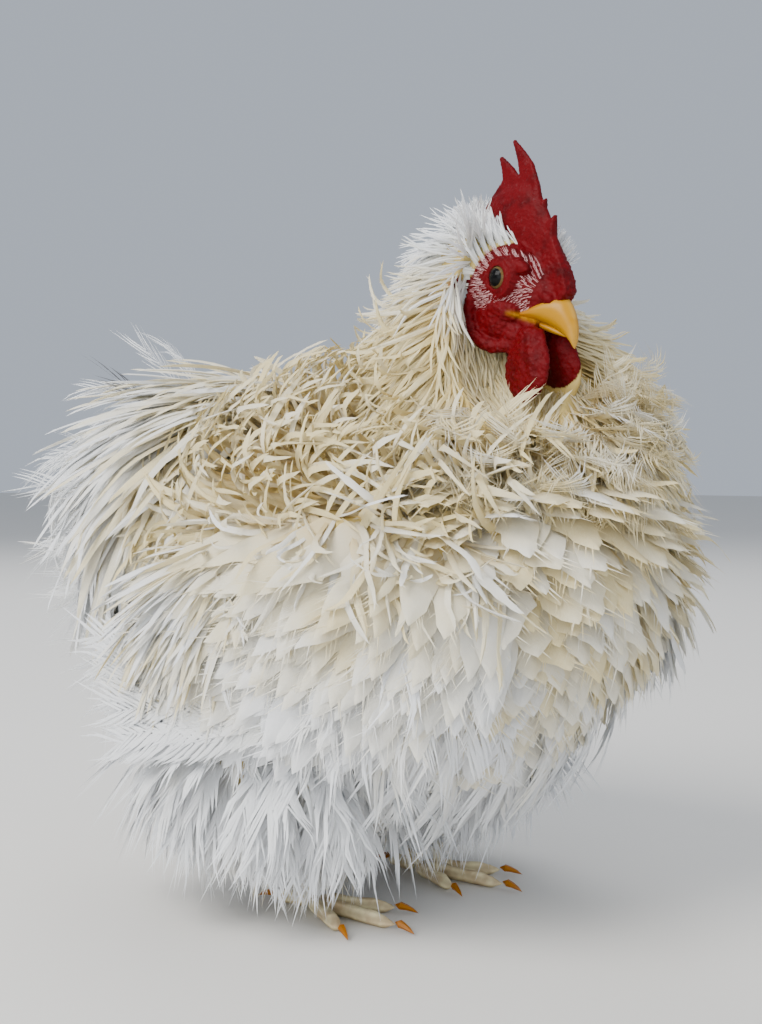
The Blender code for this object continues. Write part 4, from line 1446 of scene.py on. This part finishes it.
def skin_facts(points):
    """How red each point of the skin is, how scaled, and how much of the mouth's yellow edge."""
    local = to_head(points)
    red = bare_face(local) * part_of_head(points, local)
    scaled = np.clip((48.0 - points[:, 2]) / 10.0, 0, 1)
    low = (points[:, 2] < 66) & (np.hypot(points[:, 0] + 12, np.abs(points[:, 1]) - 32) > 12)
    scaled = np.where(low & (points[:, 2] > 12), 0.0, scaled)
    gape = np.exp(-(((local[:, 2] + 7.4) / 0.9) ** 2)) * red
    gape *= np.clip((local[:, 0] - 10.5) / 4.0, 0, 1) * (local[:, 0] < 24)
    return np.stack((red, scaled, gape), 1)


def make_skin(look):
    """The one skin: body, head with comb, wattles and lobes, and both feet."""
    skin = melted(join_shells("skin_body", add_body), 3.0, 6)
    combine(skin, join_shells("skin_hollow", add_hollow), "DIFFERENCE")
    head = melted(join_shells("skin_head", add_head), 0.55, 3)
    for part in (head, *map(foot_copy, dict(SIDES))):
        combine(skin, part, "UNION")
    triangulate = skin.modifiers.new("triangles", "TRIANGULATE")
    triangulate.keep_custom_normals = False
    apply_modifiers(skin)
    points = sculpt_head(mesh_points(skin.data), mesh_normals(skin.data))
    triangles = np.empty(len(skin.data.polygons) * 3, np.int32)
    skin.data.polygons.foreach_get("vertices", triangles)
    bpy.data.objects.remove(skin, do_unlink=True)
    facts = {"skin": skin_facts(points)}
    points[:, 2] = np.maximum(points[:, 2], 0.0)
    faces = triangles.reshape(-1, 3)
    made = mesh_piece("skin", points, faces, skin_finish(look), facts)
    pairs = ("wattle", "ear_lobe", "wing", "thigh", "foot")
    flesh = [f"{part}_{name}" for part in pairs for name, _ in SIDES]
    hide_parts("head", "comb", "neck", "trunk", "saddle", "tail", *flesh)
    return made


def make_eye(material, name, side):
    """An eyeball with a bulging cornea. Its gaze tells how far a point is from the pupil's middle."""
    rings, segments, bulge = 40, 56, 0.45
    polar = np.linspace(0, math.pi, rings + 1)[1:-1]
    turn = np.arange(segments) * 2 * math.pi / segments
    p, t = np.meshgrid(polar, turn, indexing="ij")
    radius = EYE_RADIUS + bulge * np.exp(-((p / 0.55) ** 2)) - 0.1
    flat = radius * np.sin(p)
    grid = np.stack((flat * np.cos(t), radius * np.cos(p), flat * np.sin(t)), 2)
    poles = np.array(((0, EYE_RADIUS + bulge - 0.1, 0), (0, -EYE_RADIUS + 0.1, 0)))
    points = np.concatenate((grid.reshape(-1, 3), poles))
    points[:, 1] *= side
    faces = []
    last = len(polar) - 1
    for i in range(last):
        for j in range(segments):
            a, b = i * segments + j, i * segments + (j + 1) % segments
            faces += [(a, b, b + segments), (a, b + segments, a + segments)]
    for j in range(segments):
        k = (j + 1) % segments
        faces.append((len(points) - 2, k, j))
        faces.append((len(points) - 1, last * segments + j, last * segments + k))
    faces = np.array(faces)
    if side == RIGHT:
        faces = faces[:, ::-1]
    out = np.sin(p) * np.where(p < math.pi / 2, 1, 3)
    gaze = np.stack((out, np.cos(t), np.sin(t)), 2).reshape(-1, 3)
    centre = np.array((EYE_PLACE.x, EYE_PLACE.y * side, EYE_PLACE.z))
    facts = {"gaze": np.concatenate((gaze, ((0.0, 0.0, 0.0), (3.0, 0.0, 0.0))))}
    made = mesh_piece(f"eyeball_{name}", from_head(points + centre), faces, material, facts)
    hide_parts(f"eye_{name}")
    return made


UPPER_BILL = Form((
    (9.5, 0, 0, -8, -7),
    (11, 0, 7.4, -8.7, -6.4),
    (15, 0, 7.8, -8.6, -4.4),
    (19, 0, 7.0, -8.3, -0.8),
    (23, 0, 5.7, -8.3, 2.0),
    (27, 0, 4.5, -8.6, 2.3),
    (30.5, 0, 3.5, -9.2, 0.0),
    (33.8, 0, 2.4, -10.7, -3.7),
    (35.8, 0, 1.3, -12.2, -7.4),
    (36.6, 0, 0, -12.6, -10.8),
))
LOWER_BILL = Form((
    (11, 0, 0, -10, -8),
    (13, 0, 4.2, -10.6, -7.2),
    (20, 0, 3.5, -10.5, -7.2),
    (26, 0, 2.6, -10.4, -7.7),
    (29, 0, 1.6, -10.2, -8.4),
    (31, 0, 0, -10.0, -9.2),
))


def make_bill(material, name, form):
    """One half of the bill, with a keel along its ridge and a dent for each nostril."""
    shell = join_shells(f"shell_{name}", lambda bm: form.add_to(bm, 44, 40))
    points = mesh_points(shell.data)
    bm = bmesh.new()
    bm.from_mesh(shell.data)
    bmesh.ops.triangulate(bm, faces=bm.faces)
    triangles = np.array([[v.index for v in face.verts] for face in bm.faces])
    bm.free()
    bpy.data.objects.remove(shell, do_unlink=True)
    x, y, z = points.T.copy()
    if name == "beak_upper":
        keel = np.exp(-((y / 1.4) ** 2)) * (z > -2 - (x - 24).clip(0) * 0.4)
        points[:, 2] += 0.45 * keel
        dent = np.exp(-(((x - 20.5) / 2.2) ** 2) - (((z - 0.6) / 1.0) ** 2))
        points[:, 1] -= np.sign(y) * 0.9 * dent
    tip = np.clip((x - 11) / 27, 0, 1)
    low = np.clip((-z - 5.5) / 3, 0, 1) * np.clip((30 - x) / 8, 0, 1)
    ridge = np.exp(-((y / 1.3) ** 2)) * (z > -3) * 0.5 + np.clip((x - 33) / 5, 0, 1) * 0.6
    facts = {"horn": np.stack((tip, low, np.clip(ridge, 0, 1)), 1)}
    made = mesh_piece(f"{name}_horn", from_head(points), triangles, material, facts)
    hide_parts(name)
    return made


def make_claws(material):
    """The frame's own claws, with the horn's finish."""
    for name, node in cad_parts.items():
        if name.startswith("claw_"):
            node.data.materials.clear()
            node.data.materials.append(material)


def make_head_coat(look, material):
    """Short hair-like feathers over the crown, behind the eye and down to the ruff."""
    coat = Coat("head_coat", "white_plumage")
    roots = plant(SKULL, count_of(look, 5400), shares=(0.0, 0.80), turns=(0, 360), off_face=False)
    far_crown = (roots.place[:, 1] > 5) & (roots.place[:, 2] > 7)
    bare = bare_face(roots.place - AHEAD * np.where(far_crown, 16.0, 2.2)[:, None])
    keep = (bare < 0.5) & (roots.place[:, 2] > -20)
    keep &= ~((np.abs(roots.place[:, 1]) < 2.6) & (roots.place[:, 2] > 8) & (roots.place[:, 0] > -22))
    roots = roots.pick(keep)
    local = roots.place
    side = np.sign(local[:, 1:2])
    up_side = np.where(local[:, 2:] > 4, 0.9, -0.2)
    lie = roots.lie(blend_ways((AHEAD, -1.0), (UP * up_side, 1.0), (BESIDE * side, 0.1)))
    size = np.interp(local[:, 0], (-26, -10, 6), (0.74, 0.60, 0.46))
    dark = np.where(local[:, 1] > 3, np.clip(swirl(local, 9, 6.0), 0, 1) * 0.7, 0.0)
    rise = np.interp(local[:, 0], (-22, -6, 4), (42, 32, 18))
    rise = np.where((local[:, 1] > 2) & (local[:, 2] > 6), 76.0, rise)
    coat.grow(SILK, to_body(roots), lie @ HEAD_TURN.T, 221, rise=rise, curl=(-14, 26), size=size,
              sweep=(0, 0.5), tone=(0.05, 0.1), dark=dark, sunk=0.4, slim=1.15)
    return coat.piece(material)


def make_bristles(look):
    """Pale bristles over the red face, round the eye and over the lobes."""
    coat = Coat("face_bristles", "red_skin")
    material = plain_finish("bristle", look.bristle, 0.6)
    roots = plant(SKULL, count_of(look, 4600), shares=(0.35, 0.92), turns=(0, 360), off_face=False)
    local = roots.place
    ring = np.hypot(local[:, 0] - EYE_PLACE.x, local[:, 2] - EYE_PLACE.z)
    keep = (bare_face(local) > 0.3) & (ring > LID_RADIUS + 1.6) & (np.abs(local[:, 1]) > 3.5)
    keep &= (local[:, 0] < 17) & (local[:, 2] < 12)
    roots = roots.pick(keep)
    local = roots.place
    from_eye = local - np.array((EYE_PLACE.x, 0, EYE_PLACE.z)) * (1, 0, 1)
    way = unit(from_eye * (1.0, 0.0, 1.0)) * 0.6 + AHEAD * -0.9
    lie = roots.lie(way) @ HEAD_TURN.T
    coat.grow(BRISTLE, to_body(roots), lie, 231, rise=(16, 8), curl=(-8, 14), size=(0.8, 0.25),
              sweep=(0, 0.5), sunk=-0.2)
    return coat.piece(material)


def make_foot_coat(look, material, name, side):
    """The fan of plumes beside one foot, and the feathers down its shank."""
    coat = Coat(f"foot_coat_{name}", "white_plumage")
    ankle = np.array((-8.0, 32.0 * side, 0.0))
    rng = np.random.default_rng(241 + side)
    total = count_of(look, 200)
    share = rng.uniform(0, 1, total) ** 1.5
    turn = np.radians(rng.uniform(-30, 175, total)) * side
    out = np.stack((np.cos(turn), np.sin(turn), np.zeros(total)), 1)
    place = ankle + out * 3.6 + (0.0, 0.0, 8.0) + share[:, None] * (-4.0, 0.0, 44.0)
    patch = np.stack((turn / (2 * math.pi) % 1.0, share), 1) * 0.9 + 0.05
    roots = Roots(place, out, patch)
    lie = roots.lie(DOWN)
    rise = np.interp(share, (0, 1), (74, 40))
    coat.grow(FLUFF, roots, lie, 251 + side, rise=rise, curl=-34 + 24 * share, size=(0.70, 0.14),
              tone=(0.35, 0.2))
    made = coat.piece(material)
    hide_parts(f"foot_plumes_{name}")
    return made


# The photograph's view: the lens in pixels of its frame, and the camera's place round the bird
FRAME_HEIGHT = 1024
LENS_PIXELS = 1475.0
SENSOR = 36.0
CAMERA_AWAY = 575.0
CAMERA_HEIGHT = 170.0
CAMERA_TURN = 40.0  # the bird is seen from its right, this far round from the side
CAMERA_DIP = 2.02


LAMPS = (  # name, place round the bird in metres, watts, size, colour
    ("key", (-0.10, -1.40, 1.40), 52.0, 1.1, (1.0, 0.98, 0.95)),
    ("fill", (1.5, 0.4, 0.9), 8.0, 1.4, (0.95, 0.97, 1.0)),
    ("low", (0.55, -1.35, 0.22), 11.0, 1.0, (0.92, 0.96, 1.0)),
    ("back", (-1.1, 1.0, 1.5), 20.0, 1.2, (0.97, 0.98, 1.0)),
)
LIT = Vector((0.0, 0.0, 0.13))  # what the lamps face
BACKDROP = (0.58, 0.64, 0.74, 1.0)
BACKDROP_LIGHT = 0.82
FLOOR_COLOUR = (0.72, 0.70, 0.66)
FLOOR_SIZE = 6.0


def stand_at(name, data, spot, way):
    """A lamp or a camera at the spot, in metres, that faces that way."""
    obj = link(name, data)
    obj.location = spot
    obj.rotation_mode = "QUATERNION"
    obj.rotation_quaternion = way.to_track_quat("-Z", "Y")
    return obj


def add_floor():
    bm = bmesh.new()
    bmesh.ops.create_grid(bm, x_segments=1, y_segments=1, size=FLOOR_SIZE)
    mesh = bpy.data.meshes.new("floor")
    bm.to_mesh(mesh)
    bm.free()
    mesh.materials.append(plain_finish("floor_paint", FLOOR_COLOUR, 0.9))
    link("floor", mesh)


def add_camera():
    turn = math.radians(CAMERA_TURN)
    away = Vector((math.sin(turn), -math.cos(turn), 0.0))
    place = away * CAMERA_AWAY + Vector((SHIFT.x, SHIFT.y, CAMERA_HEIGHT))
    data = bpy.data.cameras.new("camera")
    data.sensor_width = SENSOR
    data.lens = LENS_PIXELS / FRAME_HEIGHT * SENSOR
    data.clip_start, data.clip_end = 0.01, 50.0
    dip = Vector((0.0, 0.0, -math.tan(math.radians(CAMERA_DIP))))
    bpy.context.scene.camera = stand_at("camera", data, place * MM, dip - away)


def make_stage():
    """Floor, soft studio light and the camera."""
    add_floor()
    add_camera()
    for name, spot, watts, size, colour in LAMPS:
        lamp = bpy.data.lights.new(name, "AREA")
        lamp.energy, lamp.size, lamp.color = watts, size, colour
        stand_at(name, lamp, spot, LIT - Vector(spot))
    world = bpy.data.worlds.new("studio")
    world.use_nodes = True
    backdrop = world.node_tree.nodes["Background"]
    backdrop.inputs["Color"].default_value = BACKDROP
    backdrop.inputs["Strength"].default_value = BACKDROP_LIGHT
    bpy.context.scene.world = world


def feathers():
    """The coat's finish, made once."""
    return bpy.data.materials.get("feather") or feather_finish(bpy.context.scene.frizzle_look)


class FRIZZLE_OT_skin(bpy.types.Operator):
    """Make the one skin of body, head and feet"""

    bl_idname = "frizzle.skin"
    bl_label = "Skin"

    def execute(self, context):
        make_skin(context.scene.frizzle_look)
        return {"FINISHED"}


class FRIZZLE_OT_eyes(bpy.types.Operator):
    """Make both eyes"""

    bl_idname = "frizzle.eyes"
    bl_label = "Eyes"

    def execute(self, context):
        finish = eye_finish()
        for name, side in SIDES:
            make_eye(finish, name, side)
        return {"FINISHED"}


class FRIZZLE_OT_horn(bpy.types.Operator):
    """Make the bill and finish the claws"""

    bl_idname = "frizzle.horn"
    bl_label = "Bill and claws"

    def execute(self, context):
        finish = horn_finish(context.scene.frizzle_look)
        make_bill(finish, "beak_upper", UPPER_BILL)
        make_bill(finish, "beak_lower", LOWER_BILL)
        make_claws(finish)
        return {"FINISHED"}


class FRIZZLE_OT_body_coat(bpy.types.Operator):
    """Grow the feathers of breast, belly, back, saddle and tail"""

    bl_idname = "frizzle.body_coat"
    bl_label = "Body coat"

    def execute(self, context):
        look = context.scene.frizzle_look
        for make in (make_breast, make_belly, make_back, make_saddle, make_tail):
            make(look, feathers())
        return {"FINISHED"}


class FRIZZLE_OT_wing_coat(bpy.types.Operator):
    """Grow the strands, curls, coverts and quills of both wings"""

    bl_idname = "frizzle.wing_coat"
    bl_label = "Wing coat"

    def execute(self, context):
        for name, side in SIDES:
            make_wing(context.scene.frizzle_look, feathers(), name, side)
        return {"FINISHED"}


class FRIZZLE_OT_leg_coat(bpy.types.Operator):
    """Grow the fluff of the thighs and the plumes of the feet"""

    bl_idname = "frizzle.leg_coat"
    bl_label = "Leg coat"

    def execute(self, context):
        for name, side in SIDES:
            make_thigh(context.scene.frizzle_look, feathers(), name, side)
            make_foot_coat(context.scene.frizzle_look, feathers(), name, side)
        return {"FINISHED"}


class FRIZZLE_OT_neck_coat(bpy.types.Operator):
    """Grow the ruff, the bib and the feathers inside the ruff"""

    bl_idname = "frizzle.neck_coat"
    bl_label = "Neck coat"

    def execute(self, context):
        look = context.scene.frizzle_look
        for name, side in SIDES:
            make_neck(look, feathers(), name, side)
        make_bib(look, feathers())
        make_throat(look, feathers())
        return {"FINISHED"}


class FRIZZLE_OT_head_coat(bpy.types.Operator):
    """Grow the short feathers of the head and the bristles of the face"""

    bl_idname = "frizzle.head_coat"
    bl_label = "Head coat"

    def execute(self, context):
        look = context.scene.frizzle_look
        make_head_coat(look, feathers())
        make_bristles(look)
        return {"FINISHED"}


class FRIZZLE_OT_stage(bpy.types.Operator):
    """Make the floor, the lights and the camera"""

    bl_idname = "frizzle.stage"
    bl_label = "Stage"

    def execute(self, context):
        make_stage()
        return {"FINISHED"}


STEPS = (
    FRIZZLE_OT_skin, FRIZZLE_OT_eyes, FRIZZLE_OT_horn, FRIZZLE_OT_body_coat, FRIZZLE_OT_wing_coat,
    FRIZZLE_OT_leg_coat, FRIZZLE_OT_neck_coat, FRIZZLE_OT_head_coat, FRIZZLE_OT_stage,
)


LOOK_NAMES = (
    "white", "shade", "cream", "straw", "mark", "red", "bristle", "horn", "scales", "fullness",
)


class FRIZZLE_PT_panel(bpy.types.Panel):
    """Lists the looks and the steps"""

    bl_idname = "FRIZZLE_PT_panel"
    bl_label = "Frizzle bantam"
    bl_space_type = "VIEW_3D"
    bl_region_type = "UI"
    bl_category = "Frizzle"

    def draw(self, context):
        for name in LOOK_NAMES:
            self.layout.prop(context.scene.frizzle_look, name)
        for step in STEPS:
            self.layout.operator(step.bl_idname)


CLASSES = (FrizzleLook, *STEPS, FRIZZLE_PT_panel)


def register():
    for each in CLASSES:
        bpy.utils.register_class(each)
    bpy.types.Scene.frizzle_look = bpy.props.PointerProperty(type=FrizzleLook)


def unregister():
    del bpy.types.Scene.frizzle_look
    for each in reversed(CLASSES):
        bpy.utils.unregister_class(each)


def main():
    register()
    for step in STEPS:
        group, action = step.bl_idname.split(".")
        getattr(getattr(bpy.ops, group), action)()


if __name__ == "__main__":
    main()
